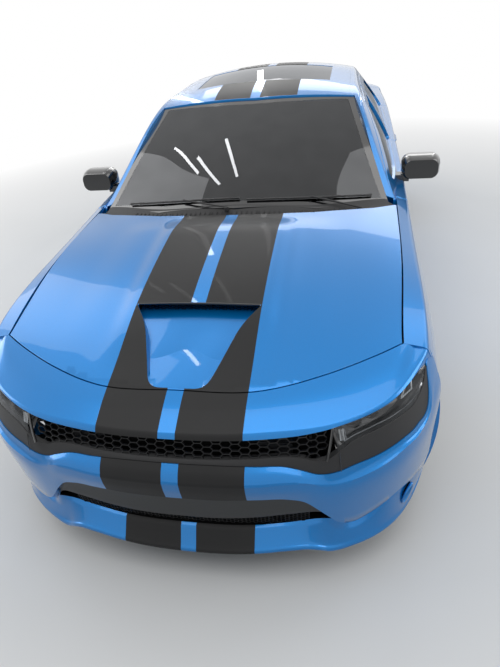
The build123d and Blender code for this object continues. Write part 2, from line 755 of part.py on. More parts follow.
with BuildPart() as fender_left:
    add(side_layer(0, FENDER_WALL))
    add(block((600, 1100), (-2100, FENDER_END_Y), (0, 1200)), mode=Mode.INTERSECT)
    add(FRONT_DOORWAY, mode=Mode.SUBTRACT)
    add(wheel_cylinder(FRONT_AXLE_Y, ARCH_RADIUS, (600, 1000)), mode=Mode.SUBTRACT)
export(fender_left, "fender_left")

with BuildPart() as fender_right:
    mirror(fender_left.part, about=Plane.YZ)
export(fender_right, "fender_right")

with BuildPart() as outer_side:
    add(side_layer(0, QUARTER_WALL))
    add(wheel_cylinder(REAR_AXLE_Y, ARCH_RADIUS, (600, 1000)), mode=Mode.SUBTRACT)
    add(CABIN_SKIN)
    add(block((0, 1100), (FENDER_END_Y + FIT_GAP, 2060), (0, 1600)), mode=Mode.INTERSECT)
    for cut in (FRONT_DOORWAY, REAR_DOORWAY, plan_prism(ROOF_PLAN, 1100, 1600, FIT_GAP), *GLASS_CUTS):
        add(cut, mode=Mode.SUBTRACT)
    add(block((-1, DECK_PLAN[0][0] + PANEL_GAP), (DECK_PLAN[0][1] - 18, 2100), (900, 1300)), mode=Mode.SUBTRACT)

with BuildPart() as inner_side:
    with BuildSketch(Plane.YZ.offset(INNER_SIDE_X)):
        with BuildLine():
            Polyline(*INNER_SIDE, close=True)
        make_face()
    extrude(amount=INNER_SIDE_THICK)
    add(CABIN_FLANGE)
    add(block((0, 1100), (DOOR_FRONT_Y - 90, REAR_AXLE_Y + 200), (0, 1600)), mode=Mode.INTERSECT)
    for cut in (door_prism(FRONT_DOOR, -APERTURE_INSET), door_prism(REAR_DOOR, -APERTURE_INSET),
                plan_prism(ROOF_INNER_PLAN, 1000, 1600), *GLASS_CUTS):
        add(cut, mode=Mode.SUBTRACT)
    add(block((0, INNER_SIDE_X), (-1200, DOOR_FRONT_Y + 42), (0, 1600)), mode=Mode.SUBTRACT)
    add(block((INNER_SIDE_X + INNER_SIDE_THICK, 1100), (DOOR_FRONT_Y - 56, DOOR_REAR_Y + 10), (0, BELT_Z - 8)),
        mode=Mode.SUBTRACT)

with BuildPart() as side_frame_left:
    add(outer_side.part)
    add(inner_side.part)
    add(block((INNER_SIDE_X, 868), (DOOR_FRONT_Y + 60, DOOR_REAR_Y - 250), (SILL_LOW_Z, DOOR_LOW_Z - PANEL_GAP)))
    add(block((INNER_SIDE_X, HINGE_POST_X), (DOOR_FRONT_Y - 110, DOOR_FRONT_Y - 62), (SILL_LOW_Z, 900)))
    add(hinge_ears(DOOR_FRONT_Y, (HINGE_POST_X - 12, DOOR_FRONT_Y - 84)))
    add(hinge_ears(REAR_DOOR_EDGE_Y, (PILLAR_OUT_X - 12, REAR_DOOR_EDGE_Y - 68)))
export(side_frame_left, "side_frame_left")

with BuildPart() as side_frame_right:
    mirror(side_frame_left.part, about=Plane.YZ)
export(side_frame_right, "side_frame_right")

with BuildPart() as roof_panel:
    add(cabin_layer(0, ROOF_DEPTH))
    add(plan_prism(ROOF_PLAN, 1200, 1600), mode=Mode.INTERSECT)
    add(plan_prism(SUNROOF_PLAN, 1200, 1600), mode=Mode.SUBTRACT)
export(roof_panel, "roof_panel")

with BuildPart() as sunroof_glass:
    add(cabin_layer(2, 9))
    add(plan_prism(SUNROOF_PLAN, 1200, 1600, -FIT_GAP), mode=Mode.INTERSECT)
export(sunroof_glass, "sunroof_glass")

SCREEN_LAYER = cabin_layer(3, 10)
for name, outline in (("windshield", WINDSHIELD_PLAN), ("backlight", BACKLIGHT_PLAN)):
    with BuildPart() as pane:
        add(SCREEN_LAYER)
        add(plan_prism(outline, 700, 1600), mode=Mode.INTERSECT)
    export(pane, name)

# Doors: the left pair made, the right pair mirrored
DOOR_BODY = side_layer(0, DOOR_DEPTH, True)
DOOR_FRAME = cabin_layer(0, FRAME_DEPTH)
PANE = cabin_layer(9, 14)
for place, outline, window, edge_y in (("front", FRONT_DOOR, FRONT_WINDOW, DOOR_FRONT_Y),
                                       ("rear", REAR_DOOR, REAR_WINDOW, REAR_DOOR_EDGE_Y)):
    with BuildPart() as door:
        add(DOOR_BODY)
        add(DOOR_FRAME)
        add(door_prism(outline), mode=Mode.INTERSECT)
        add(side_prism(window), mode=Mode.SUBTRACT)
        add(plan_prism(WINDSHIELD_PLAN, 800, 1600, TOP_CLEARANCE), mode=Mode.SUBTRACT)
        add(plan_prism(ROOF_PLAN, 1100, 1600, TOP_CLEARANCE), mode=Mode.SUBTRACT)
        add(block((0, FRONT_FOOT_X), (-1300, FRONT_FOOT_Y), (0, BELT_Z)), mode=Mode.SUBTRACT)
        if place == "front":
            add(hinge_room(REAR_DOOR_EDGE_Y, INNER_SIDE_X), mode=Mode.SUBTRACT)
        add(swing_room(edge_y, outline), mode=Mode.SUBTRACT)
        add(hinge_leaves(edge_y))
    with BuildPart() as glass:
        add(PANE)
        add(side_prism(window, -FIT_GAP), mode=Mode.INTERSECT)
    pieces = [(door, f"{place}_door"), (glass, f"{place}_door_glass")]
    if place == "front":
        with BuildPart() as mirror_body:
            with BuildSketch(across(0, MIRROR_Y - 55, 0)):
                with Locations((MIRROR_X, MIRROR_Z)):
                    RectangleRounded(MIRROR_WIDTH - 30, MIRROR_HEIGHT - 30, 38)
            with BuildSketch(across(0, MIRROR_Y + 5, 0)):
                with Locations((MIRROR_X, MIRROR_Z)):
                    RectangleRounded(MIRROR_WIDTH, MIRROR_HEIGHT, 46)
            with BuildSketch(across(0, MIRROR_Y + 62, 0)):
                with Locations((MIRROR_X, MIRROR_Z)):
                    RectangleRounded(MIRROR_WIDTH - 8, MIRROR_HEIGHT - 8, 42)
            loft()
            add(block((790, MIRROR_X - 60), (MIRROR_Y - 30, MIRROR_Y + 36), (MIRROR_Z - 70, MIRROR_Z - 34)))
            add(door.part, mode=Mode.SUBTRACT)
            add(glass.part, mode=Mode.SUBTRACT)
        pieces.append((mirror_body, "mirror"))
    for piece, name in pieces:
        export(piece, f"{name}_left")
        with BuildPart() as other:
            mirror(piece.part, about=Plane.YZ)
        export(other, f"{name}_right")


# Bonnet with its scoop
def scoop_body(stations):
    """A loft across the bonnet; a station is y, low half width, high half width, and two heights off the skin."""
    sections = []
    for y, low_half, high_half, low, high in stations:
        z = hood_z(y)
        with BuildSketch(across(0, y, 0)) as section:
            with BuildLine():
                Polyline((-low_half, z + low), (low_half, z + low), (high_half, z + high), (-high_half, z + high),
                         close=True)
            make_face()
        sections.append(section.sketch)
    with BuildPart() as body:
        loft(sections, ruled=True)
    return body.part


RAMP = [(RAMP_FRONT_Y, RAMP_FRONT_HALF, 0), (RAMP_REAR_Y, RAMP_REAR_HALF, RAMP_DROP),
        (MOUTH_Y, MOUTH_HALF, RAMP_DROP + 4)]
with BuildPart() as hood:
    add(bow_body(HOOD_BOWS, HOOD_THICK))
    add(plan_prism(HOOD_PLAN, 600, 1200, -PANEL_GAP), mode=Mode.INTERSECT)
    add(scoop_body([(MOUTH_Y, DOME_HALF, MOUTH_HALF + 20, -18, DOME_RISE),
                    (-1600, DOME_HALF, MOUTH_HALF + 30, -18, DOME_RISE - 5),
                    (DOME_REAR_Y, DOME_HALF, MOUTH_HALF + 40, -20, -5)]))
    add(scoop_body([(y, half + SCOOP_WALL, half + SCOOP_WALL, -depth - SCOOP_WALL, -4) for y, half, depth in RAMP]
                   + [(SCOOP_END_Y + SCOOP_WALL, MOUTH_HALF + SCOOP_WALL, MOUTH_HALF + SCOOP_WALL,
                       -RAMP_DROP - 4 - SCOOP_WALL, -4)]))
    add(scoop_body([(y, half, half + 20, -depth, 60) for y, half, depth in RAMP]), mode=Mode.SUBTRACT)
    add(scoop_body([(MOUTH_Y - 1, MOUTH_HALF, MOUTH_HALF, -RAMP_DROP - 4, DOME_RISE - 9),
                    (SCOOP_END_Y, MOUTH_HALF, MOUTH_HALF, -RAMP_DROP - 4, DOME_RISE - 9)]), mode=Mode.SUBTRACT)
export(hood, "hood")

with BuildPart() as scoop_mesh:
    with BuildSketch(across(0, MOUTH_Y + 22, 0)):
        with Locations((0, hood_z(MOUTH_Y + 22) - 10)):
            Rectangle(2 * MOUTH_HALF - 2, RAMP_DROP + DOME_RISE - 9)
    extrude(amount=6)
    add(hood.part, mode=Mode.SUBTRACT)
export(scoop_mesh, "scoop_mesh")

with BuildPart() as cowl:
    add(bow_body([bow._replace(edge_z=bow.edge_z - COWL_DROP, crown_z=bow.crown_z - COWL_DROP) for bow in HOOD_BOWS],
                 COWL_THICK))
    add(plan_prism(COWL_PLAN, 600, 1200), mode=Mode.INTERSECT)
    add(cabin_layer(0, 11), mode=Mode.SUBTRACT)
    add(side_frame_left.part, mode=Mode.SUBTRACT)
    add(side_frame_right.part, mode=Mode.SUBTRACT)
export(cowl, "cowl")

# Boot lid with its lip and its part of the tail lamp
with BuildPart() as deck_top:
    add(bow_body(DECK_BOWS, DECK_THICK))
    add(plan_prism(DECK_PLAN, 900, 1300), mode=Mode.INTERSECT)

with BuildPart() as lamp_recess:
    add(end_layer(REAR_RIBS, -2, FASCIA_WALL + 20 + FIT_GAP))
    add(block((-LAMP_HALF, LAMP_HALF), (2120, 2700), LAMP_Z), mode=Mode.INTERSECT)

with BuildPart() as decklid:
    add(end_layer(REAR_RIBS, 0, TAIL_DEPTH))
    add(TAIL_PANEL, mode=Mode.INTERSECT)
    add(lamp_recess.part, mode=Mode.SUBTRACT)
    add(deck_top.part)
export(decklid, "decklid")

with BuildPart() as deck_lamp:
    add(TAIL_GLASS)
    add(LENS_BAND, mode=Mode.INTERSECT)
    add(TAIL_PANEL, mode=Mode.INTERSECT)
export(deck_lamp, "deck_lamp")

# Wheels: the profiles are drawn from the wheel's middle plane outwards and turned round its axle


def wheel_plane(side, axle_y, offset=0):
    """The plane across a wheel's axle: z outwards, y up."""
    return Plane(origin=(side * (WHEEL_X + offset), axle_y, TYRE_RADIUS), x_dir=(0, side, 0), z_dir=(side, 0, 0))


def turned(side, axle_y, profile):
    """A ring turned round a wheel's axle from a profile of (distance outwards, radius)."""
    plane = Plane(origin=(side * WHEEL_X, axle_y, TYRE_RADIUS), x_dir=(side, 0, 0), z_dir=(0, -side, 0))
    with BuildPart() as ring:
        with BuildSketch(plane):
            with BuildLine():
                Polyline(*profile, close=True)
            make_face()
        revolve(axis=Axis((0, axle_y, TYRE_RADIUS), (1, 0, 0)))
    return ring.part


HALF_TYRE = TYRE_WIDTH / 2
HALF_RIM = RIM_WIDTH / 2
BEAD_IN = 9.5
TYRE_PROFILE = [
    (BEAD_IN - HALF_RIM, RIM_RADIUS + FIT_GAP), (BEAD_IN - HALF_RIM, RIM_RADIUS + 7), (-HALF_RIM - 3, RIM_RADIUS + 9),
    (-HALF_TYRE, RIM_RADIUS + 50),
    (-HALF_TYRE + 8, TYRE_RADIUS - 12), (-HALF_TYRE + 26, TYRE_RADIUS - 1), (0, TYRE_RADIUS),
    (HALF_TYRE - 26, TYRE_RADIUS - 1), (HALF_TYRE - 8, TYRE_RADIUS - 12), (HALF_TYRE, RIM_RADIUS + 50),
    (HALF_RIM + 3, RIM_RADIUS + 9), (HALF_RIM - BEAD_IN, RIM_RADIUS + 7), (HALF_RIM - BEAD_IN, RIM_RADIUS + FIT_GAP),
    (HALF_TYRE - 34, TYRE_RADIUS - 18), (34 - HALF_TYRE, TYRE_RADIUS - 18),
]
BARREL_PROFILE = [
    (-HALF_RIM, RIM_RADIUS + 6), (-HALF_RIM + 7, RIM_RADIUS + 6), (-HALF_RIM + 9, RIM_RADIUS),
    (HALF_RIM - 9, RIM_RADIUS), (HALF_RIM - 7, RIM_RADIUS + 6), (HALF_RIM, RIM_RADIUS + 6),
    (HALF_RIM - 3, BARREL_RADIUS), (-HALF_RIM + 3, BARREL_RADIUS),
]
HUB_PROFILE = [
    (-HUB_INNER, 0), (-HUB_INNER, HUB_RADIUS), (-DISC_INNER, HUB_RADIUS), (-DISC_INNER, DISC_RADIUS),
    (-DISC_OUTER, DISC_RADIUS), (-DISC_OUTER, HUB_RADIUS), (HUB_OUTER, HUB_RADIUS), (HUB_OUTER + 6, 40), (HUB_OUTER + 6, 0),
]

for end, axle_y in (("front", FRONT_AXLE_Y), ("rear", REAR_AXLE_Y)):
    for hand, side in (("left", 1), ("right", -1)):
        with BuildPart() as tyre:
            add(turned(side, axle_y, TYRE_PROFILE))
        export(tyre, f"tyre_{end}_{hand}")
        with BuildPart() as rim:
            add(turned(side, axle_y, BARREL_PROFILE))
            add(turned(side, axle_y, HUB_PROFILE))
            with BuildSketch(wheel_plane(side, axle_y, SPOKE_X)):
                with PolarLocations(0, SPOKES, start_angle=90):
                    for lean in (1, -1):
                        Polygon((HUB_RADIUS - 12, lean * 8), (BARREL_RADIUS + 4, lean * 42),
                                (BARREL_RADIUS + 4, lean * 68), (HUB_RADIUS - 12, lean * 40), align=None)
            extrude(amount=SPOKE_THICK)
        export(rim, f"rim_{end}_{hand}")

# Steering knuckles with their brake calipers


def caliper(side, axle_y):
    """A block that straddles the brake disc behind the axle."""
    with BuildPart() as body:
        with BuildSketch(wheel_plane(side, axle_y, -KNUCKLE_IN)):
            Circle(CALIPER_RADIUS)
            Circle(CALIPER_RADIUS - 88, mode=Mode.SUBTRACT)
            with Locations((side * 200, 0)):
                Rectangle(240, 210, mode=Mode.INTERSECT)
        extrude(amount=KNUCKLE_IN + CALIPER_OUT)
        add(turned(side, axle_y, [(-DISC_INNER - 3, 0), (-DISC_INNER - 3, DISC_RADIUS + 5),
                                  (-DISC_OUTER + 3, DISC_RADIUS + 5), (-DISC_OUTER + 3, 0)]), mode=Mode.SUBTRACT)
    return body.part


def carrier(side, axle_y):
    """A hub carrier: its boss behind the hub, its two arms up and down to the ball joints and its caliper."""
    face = -HUB_INNER - FIT_GAP
    with BuildPart() as body:
        with BuildSketch(wheel_plane(side, axle_y, face)):
            Circle(HUB_RADIUS)
        extrude(amount=-KNUCKLE_DEPTH)
        with BuildSketch(wheel_plane(side, axle_y, face - 14)):
            with Locations((0, (BALL_UP - BALL_DOWN) / 2)):
                Rectangle(44, BALL_UP + BALL_DOWN)
            with Locations((side * 70, 0)):
                Rectangle(160, 60)
        extrude(amount=-30)
        add(caliper(side, axle_y))
    return body.part


with BuildPart() as knuckle_left:
    add(carrier(1, FRONT_AXLE_Y))
export(knuckle_left, "knuckle_left")

with BuildPart() as knuckle_right:
    mirror(knuckle_left.part, about=Plane.YZ)
export(knuckle_right, "knuckle_right")


def arm(inner, outer, width):
    """A flat link between two points, its ends rounded."""
    start = Vector(*inner)
    run = Vector(*outer) - start
    across_arm = Vector(0, 0, 1).cross(run).normalized()
    with BuildPart() as link:
        with BuildSketch(Plane(origin=start + run * 0.5, x_dir=run, z_dir=run.cross(across_arm) * -1)):
            SlotCenterToCenter(run.length, width)
        extrude(amount=ARM_THICK / 2, both=True)
    return link.part


def suspension(axle_y, spring_top_z):
    """Both sides' wishbones, springs and the beams that carry them at one axle."""
    ball_x = WHEEL_X - KINGPIN_IN
    up_z = TYRE_RADIUS + BALL_UP + FIT_GAP + ARM_THICK / 2
    down_z = TYRE_RADIUS - BALL_DOWN - FIT_GAP - ARM_THICK / 2
    with BuildPart() as frame:
        add(block((-BEAM_HALF, BEAM_HALF), (axle_y - 150, axle_y - 70), (BEAM_Z, BEAM_Z + 70)))
        add(block((-BEAM_HALF, BEAM_HALF), (axle_y + 70, axle_y + 150), (BEAM_Z, BEAM_Z + 70)))
        for side in (1, -1):
            add(block((side * BEAM_HALF - 30, side * BEAM_HALF + 30), (axle_y - 150, axle_y + 150),
                      (BEAM_Z, BEAM_Z + 60)))
            for run in (-110, 110):
                add(arm((side * (BEAM_HALF - 10), axle_y + run, down_z), (side * ball_x, axle_y, down_z), 46))
                add(arm((side * (TOWER_X + 12), axle_y + run, up_z), (side * ball_x, axle_y, up_z), 36))
            add(block((side * TOWER_X - 10, side * TOWER_X + 10), (axle_y - 140, axle_y + 140),
                      (BEAM_Z, up_z + 30)))
            add(block(sorted((side * BEAM_HALF, side * TOWER_X)), (axle_y - 140, axle_y + 140), (BEAM_Z, BEAM_Z + 30)))
            with BuildSketch(Plane.XY.offset(BEAM_Z + 20)):
                with Locations((side * SPRING_X, axle_y)):
                    Circle(SPRING_RADIUS)
            extrude(amount=spring_top_z - BEAM_Z - 20)
            add(block((side * SPRING_X - 60, side * SPRING_X + 60), (axle_y - 66, axle_y + 66), (BEAM_Z, BEAM_Z + 20)))
    return frame.part

with BuildPart() as front_suspension:
    add(suspension(FRONT_AXLE_Y, FRONT_SPRING_TOP_Z))
export(front_suspension, "front_suspension")

with BuildPart() as rear_suspension:
    add(suspension(REAR_AXLE_Y, REAR_SPRING_TOP_Z))
    for side in (1, -1):
        add(carrier(side, REAR_AXLE_Y))
    with BuildSketch(Plane.YZ):
        with Locations((REAR_AXLE_Y, TYRE_RADIUS)):
            Circle(HALFSHAFT_RADIUS)
    extrude(amount=WHEEL_X - HUB_INNER - 30, both=True)
    with BuildSketch(Plane.YZ):
        with Locations((REAR_AXLE_Y, TYRE_RADIUS)):
            Circle(DIFF_RADIUS)
    extrude(amount=DIFF_HALF, both=True)
export(rear_suspension, "rear_suspension")

with BuildPart() as engine:
    add(block((-ENGINE_HALF, ENGINE_HALF), ENGINE_Y, ENGINE_Z))
    add(block((-ENGINE_MOUNT_HALF, ENGINE_MOUNT_HALF), ENGINE_MOUNT_Y, ENGINE_MOUNT_Z))
export(engine, "engine")

# Floor, bulkheads, wheel houses, rails and the shelf behind the rear seat
HOUSES = [(FRONT_AXLE_Y, FRONT_HOUSE_X, FENDER_WALL), (REAR_AXLE_Y, REAR_HOUSE_X, QUARTER_WALL)]


def profile_across(corners, half):
    """A sheet or block of one side profile, given in (y, z), from one side of the car to the other."""
    with BuildPart() as body:
        with BuildSketch(Plane.YZ):
            with BuildLine():
                Polyline(*corners, close=True)
            make_face()
        extrude(amount=half, both=True)
    return body.part


def wheel_house(axle_y, inside, wall):
    """The drum over the left wheel at one axle, ending against the outer panel's inner face."""
    with BuildPart() as drum:
        add(wheel_cylinder(axle_y, WHEEL_HOUSE_RADIUS + SHEET, (inside, HOUSE_OUTER_X)))
        add(side_layer(-HOUSE_MARGIN, wall + FIT_GAP), mode=Mode.SUBTRACT)
    return drum.part


with BuildPart() as lid_seats:
    for side in (1, -1):
        add(pin((side * HOOD_STOP[0], HOOD_STOP[1]), STOP_RADIUS, (APRON_Z - 100, hood_z(HOOD_STOP[1]) - HOOD_THICK)))
    add(block((-SHELF_HALF, SHELF_HALF), (SHELF_REAR_Y, SHELF_REAR_Y + DECK_SEAT_DEPTH), (SHELF_Z + 30, DECK_SEAT_TOP_Z)))
    for lid in (hood, decklid):
        add(lid.part.moved(Location((0, 0, -FIT_GAP))), mode=Mode.SUBTRACT)
    for frame in (side_frame_left, side_frame_right):
        add(frame.part, mode=Mode.SUBTRACT)

with BuildPart() as underbody:
    low_line = [(BULKHEAD_Y, FLOOR_Z), (STEP_Y, FLOOR_Z), (STEP_Y + 40, PAN_Z), (PAN_END_Y, PAN_Z),
                (PAN_END_Y + 60, AXLE_FLOOR_Z), (REAR_AXLE_Y + 315, AXLE_FLOOR_Z), (REAR_AXLE_Y + 375, BOOT_FLOOR_Z),
                (BOOT_FLOOR_END_Y, BOOT_FLOOR_Z)]
    high_line = [(y, z + FLOOR_THICK) for y, z in reversed(low_line[1:])]
    add(profile_across([(BULKHEAD_Y, BULKHEAD_TOP_Z)] + low_line + high_line
                       + [(BULKHEAD_Y + FLOOR_THICK, FLOOR_Z + FLOOR_THICK),
                          (BULKHEAD_Y + FLOOR_THICK, BULKHEAD_TOP_Z)], FLOOR_HALF))
    shelf_low_z = AXLE_FLOOR_Z + FLOOR_THICK - 2
    add(profile_across([(SHELF_FRONT_Y, shelf_low_z), (SHELF_FRONT_Y + 50, SHELF_Z), (SHELF_REAR_Y, SHELF_Z + 30),
                        (SHELF_REAR_Y, SHELF_Z + 42), (SHELF_FRONT_Y + 38, SHELF_Z + 12),
                        (SHELF_FRONT_Y - 12, shelf_low_z)], SHELF_HALF))
    for inset, mode in ((0, Mode.ADD), (14, Mode.SUBTRACT)):
        with BuildSketch(Plane.XZ.offset(-STEP_Y - 20 - 4 * inset)):
            with BuildLine():
                Polyline((-TUNNEL_LOW + inset, FLOOR_Z), (-TUNNEL_TOP + inset, TUNNEL_Z - inset),
                         (TUNNEL_TOP - inset, TUNNEL_Z - inset), (TUNNEL_LOW - inset, FLOOR_Z), close=True)
            make_face()
        extrude(amount=STEP_Y + 20 - BULKHEAD_Y + 4 * inset, mode=mode)
    for side in (1, -1):
        add(block((side * RAIL_X - RAIL_HALF, side * RAIL_X + RAIL_HALF), (RADIATOR_Y, BULKHEAD_Y), (RAIL_Z, RAIL_Z + 90)))
        with BuildSketch(Plane.YZ.offset(side * FRONT_HOUSE_X)):
            with BuildLine():
                Polyline((RADIATOR_Y, RAIL_Z + 30), (BULKHEAD_Y, RAIL_Z + 30), (BULKHEAD_Y, APRON_Z + 60),
                         (FRONT_AXLE_Y - 440, APRON_Z - 40), (RADIATOR_Y, APRON_Z - 140), close=True)
            make_face()
        extrude(amount=side * SHEET)
        add(block(sorted((side * (RAIL_X + 20), side * FRONT_HOUSE_X)), (RADIATOR_Y, BULKHEAD_Y),
                  (RAIL_Z + 60, RAIL_Z + 90)))
        for axle_y, inside, wall in HOUSES:
            house = wheel_house(axle_y, inside, wall)
            add(house if side > 0 else mirror(house, about=Plane.YZ, mode=Mode.PRIVATE))
        add(block(sorted((side * (RAIL_X + 22), side * (REAR_HOUSE_X + SHEET))),
                  (REAR_AXLE_Y - HOUSE_WINDOW - SHEET, REAR_AXLE_Y + HOUSE_WINDOW + SHEET),
                  (AXLE_FLOOR_Z, HOUSE_WINDOW_Z + SHEET)))
    add(lid_seats.part)
    add(block((-RAIL_X, RAIL_X), (RADIATOR_Y - 30, RADIATOR_Y + 10), (260, 650)))
    add(block((-RAIL_X + 60, RAIL_X - 60), (RADIATOR_Y - 40, RADIATOR_Y + 20), (310, 610)), mode=Mode.SUBTRACT)
    for side in (1, -1):
        for axle_y, inside, _ in HOUSES:
            ends = sorted((side * (inside + SHEET), side * 1000))
            add(wheel_cylinder(axle_y, WHEEL_HOUSE_RADIUS, ends), mode=Mode.SUBTRACT)
            window = sorted((side * (RAIL_X + 32), side * 1000))
            add(block(window, (axle_y - HOUSE_WINDOW, axle_y + HOUSE_WINDOW), (-100, HOUSE_WINDOW_Z)), mode=Mode.SUBTRACT)
            add(block(sorted((side * (inside - 1), side * 1000)), (axle_y - 500, axle_y + 500), (-100, HOUSE_LOW_Z - 5)),
                mode=Mode.SUBTRACT)
export(underbody, "underbody")

with BuildPart() as exhaust:
    for side in (1, -1):
        with BuildLine() as path:
            FilletPolyline((side * 58, BULKHEAD_Y + 60, PIPE_Z), (side * 58, STEP_Y + 90, PIPE_Z),
                           (side * 150, REAR_AXLE_Y - 350, PIPE_Z - 62), (side * 240, REAR_AXLE_Y + 220, PIPE_Z - 62),
                           (side * EXHAUST_X, MUFFLER_Y[0] + 20, MUFFLER_Z), radius=110)
        with BuildSketch(Plane(origin=path.line @ 0, z_dir=path.line % 0)):
            Circle(PIPE_RADIUS)
        sweep(path=path.line)
        with BuildSketch(Plane.XZ.offset(-MUFFLER_Y[0])):
            with Locations((side * EXHAUST_X, MUFFLER_Z)):
                RectangleRounded(MUFFLER_WIDTH, MUFFLER_HEIGHT, 50)
        extrude(amount=MUFFLER_Y[0] - MUFFLER_Y[1])
        add(block((side * EXHAUST_X - HANGER_HALF, side * EXHAUST_X + HANGER_HALF), (HANGER_Y - HANGER_HALF, HANGER_Y),
                  (MUFFLER_Z, BOOT_FLOOR_Z - FIT_GAP)))
        with BuildSketch(Plane.XZ.offset(-MUFFLER_Y[1])):
            with Locations((side * EXHAUST_X, TIP_Z)):
                Circle(TIP_RADIUS)
                Circle(TIP_RADIUS - 3, mode=Mode.SUBTRACT)
        extrude(amount=MUFFLER_Y[1] - TIP_END_Y)
export(exhaust, "exhaust")


# Cabin
def cushion(centre, size, radius, lean=0):
    """A rounded cushion: its centre, its size, its edge radius and how far it leans back."""
    plane = Plane(origin=centre, x_dir=(1, 0, 0), z_dir=(0, sin(radians(lean)), cos(radians(lean))))
    with BuildPart() as body:
        with BuildSketch(plane.offset(-size[2] / 2)):
            Rectangle(size[0], size[1])
        extrude(amount=size[2])
        fillet(body.edges(), radius)
    return body.part


LEAN_DIRECTION = (0, sin(radians(SEAT_LEAN)), cos(radians(SEAT_LEAN)))
with BuildPart() as seat_bases:
    for side in (1, -1):
        add(block((side * SEAT_X - 200, side * SEAT_X + 200), (SEAT_Y - 220, SEAT_Y + 240),
                  (FLOOR_Z + FLOOR_THICK + FIT_GAP, SEAT_Z - FIT_GAP)))
export(seat_bases, "seat_bases")

with BuildPart() as front_seats:
    for side in (1, -1):
        add(cushion((side * SEAT_X, SEAT_Y, SEAT_Z + 65), (SEAT_WIDTH, 520, 130), 60))
        add(cushion((side * SEAT_X, SEAT_Y + 400, SEAT_Z + 395), (SEAT_WIDTH, 120, 620), 50, SEAT_LEAN))
        add(cushion((side * SEAT_X, SEAT_Y + 530, SEAT_Z + 800), (270, 100, 170), 44, SEAT_LEAN))
        with BuildSketch(Plane(origin=(side * SEAT_X, SEAT_Y + 490, SEAT_Z + 690), x_dir=(1, 0, 0), z_dir=LEAN_DIRECTION)):
            with GridLocations(110, 1, 2, 1):
                Circle(7)
        extrude(amount=50, both=True)
export(front_seats, "front_seats")

with BuildPart() as rear_seat:
    pan_top = PAN_Z + FLOOR_THICK + FIT_GAP
    add(cushion((0, PAN_END_Y - 310, pan_top + 70), (2 * REAR_SEAT_HALF, 480, 140), 60))
    add(cushion((0, PAN_END_Y - 34, pan_top + 400), (2 * REAR_SEAT_HALF, 120, 600), 50, 10))
export(rear_seat, "rear_seat")

with BuildPart() as dashboard:
    add(profile_across([(-1050, 925), (-820, 945), (-735, 915), (-715, 840), (-790, 700), (-960, 640), (-1050, 640)],
                       DASH_HALF))
    add(block((-110, 110), (-960, 260), (TUNNEL_Z + FIT_GAP, 510)))
    add(block((-110, 110), (-960, -790), (500, 720)))
    with BuildSketch(COLUMN_PLANE.offset(-20 - FIT_GAP)):
        Circle(34)
    extrude(amount=-140)
export(dashboard, "dashboard")

with BuildPart() as steering_wheel:
    with BuildSketch(Plane(origin=COLUMN_PLANE.origin, x_dir=COLUMN_PLANE.z_dir, z_dir=(-1, 0, 0))) as ring:
        with Locations((0, STEERING_WHEEL_RADIUS)):
            Circle(16)
    revolve(axis=Axis(COLUMN_PLANE.origin, COLUMN_PLANE.z_dir))
    with BuildSketch(COLUMN_PLANE.offset(-20)):
        Circle(62)
    extrude(amount=50)
    with BuildSketch(COLUMN_PLANE.offset(-8)):
        for turn in (0, 180, 270):
            with Locations(Location((0, 0, 0), (0, 0, turn))):
                with Locations((STEERING_WHEEL_RADIUS / 2, 0)):
                    Rectangle(STEERING_WHEEL_RADIUS, 34)
    extrude(amount=14)
export(steering_wheel, "steering_wheel")
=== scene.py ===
"""Visual model of a four-door muscle sedan with two satin stripes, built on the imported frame.

Tables are in millimetres, and x points to the car's left, y to its rear and z up.
"""

import logging
import math
from dataclasses import dataclass, field
from enum import Enum
from typing import Callable, Dict, Iterable, List, Optional, Sequence, Tuple

import bmesh
import bpy
import numpy as np
from mathutils import Matrix, Vector
from mathutils.bvhtree import BVHTree
from mathutils.geometry import delaunay_2d_cdt


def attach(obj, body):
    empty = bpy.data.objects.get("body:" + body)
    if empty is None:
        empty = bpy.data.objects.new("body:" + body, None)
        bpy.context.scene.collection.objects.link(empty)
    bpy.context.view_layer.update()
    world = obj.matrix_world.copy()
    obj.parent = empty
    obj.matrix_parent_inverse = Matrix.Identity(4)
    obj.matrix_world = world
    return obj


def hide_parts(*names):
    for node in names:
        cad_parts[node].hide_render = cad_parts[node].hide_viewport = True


LOG = logging.getLogger("muscle_sedan")
MM = 0.001
Array = np.ndarray
Pair = Tuple[float, float]
Triple = Tuple[float, float, float]
Colour = Triple
Blocks = Tuple[Tuple[Triple, Triple], ...]
Seams = Tuple[Tuple[Pair, Pair], ...]
FORWARD = (0.0, -1.0, 0.0)

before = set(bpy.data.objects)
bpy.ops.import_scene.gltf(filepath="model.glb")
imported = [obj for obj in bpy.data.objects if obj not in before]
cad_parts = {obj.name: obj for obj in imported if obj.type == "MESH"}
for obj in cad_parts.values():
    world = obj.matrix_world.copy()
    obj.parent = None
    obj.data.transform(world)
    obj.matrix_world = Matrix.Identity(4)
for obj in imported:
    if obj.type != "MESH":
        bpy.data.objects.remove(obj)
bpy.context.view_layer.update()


class Body(Enum):
    """The moving bodies of the frame that pieces ride on."""

    CHASSIS = "chassis"
    BONNET = "bonnet"
    BOOT_LID = "boot_lid"
    FRONT_DOOR_LEFT = "front_door_left"
    FRONT_DOOR_RIGHT = "front_door_right"
    REAR_DOOR_LEFT = "rear_door_left"
    REAR_DOOR_RIGHT = "rear_door_right"
    WHEEL_FRONT_LEFT = "wheel_front_left"
    WHEEL_FRONT_RIGHT = "wheel_front_right"
    WHEEL_REAR_LEFT = "wheel_rear_left"
    WHEEL_REAR_RIGHT = "wheel_rear_right"


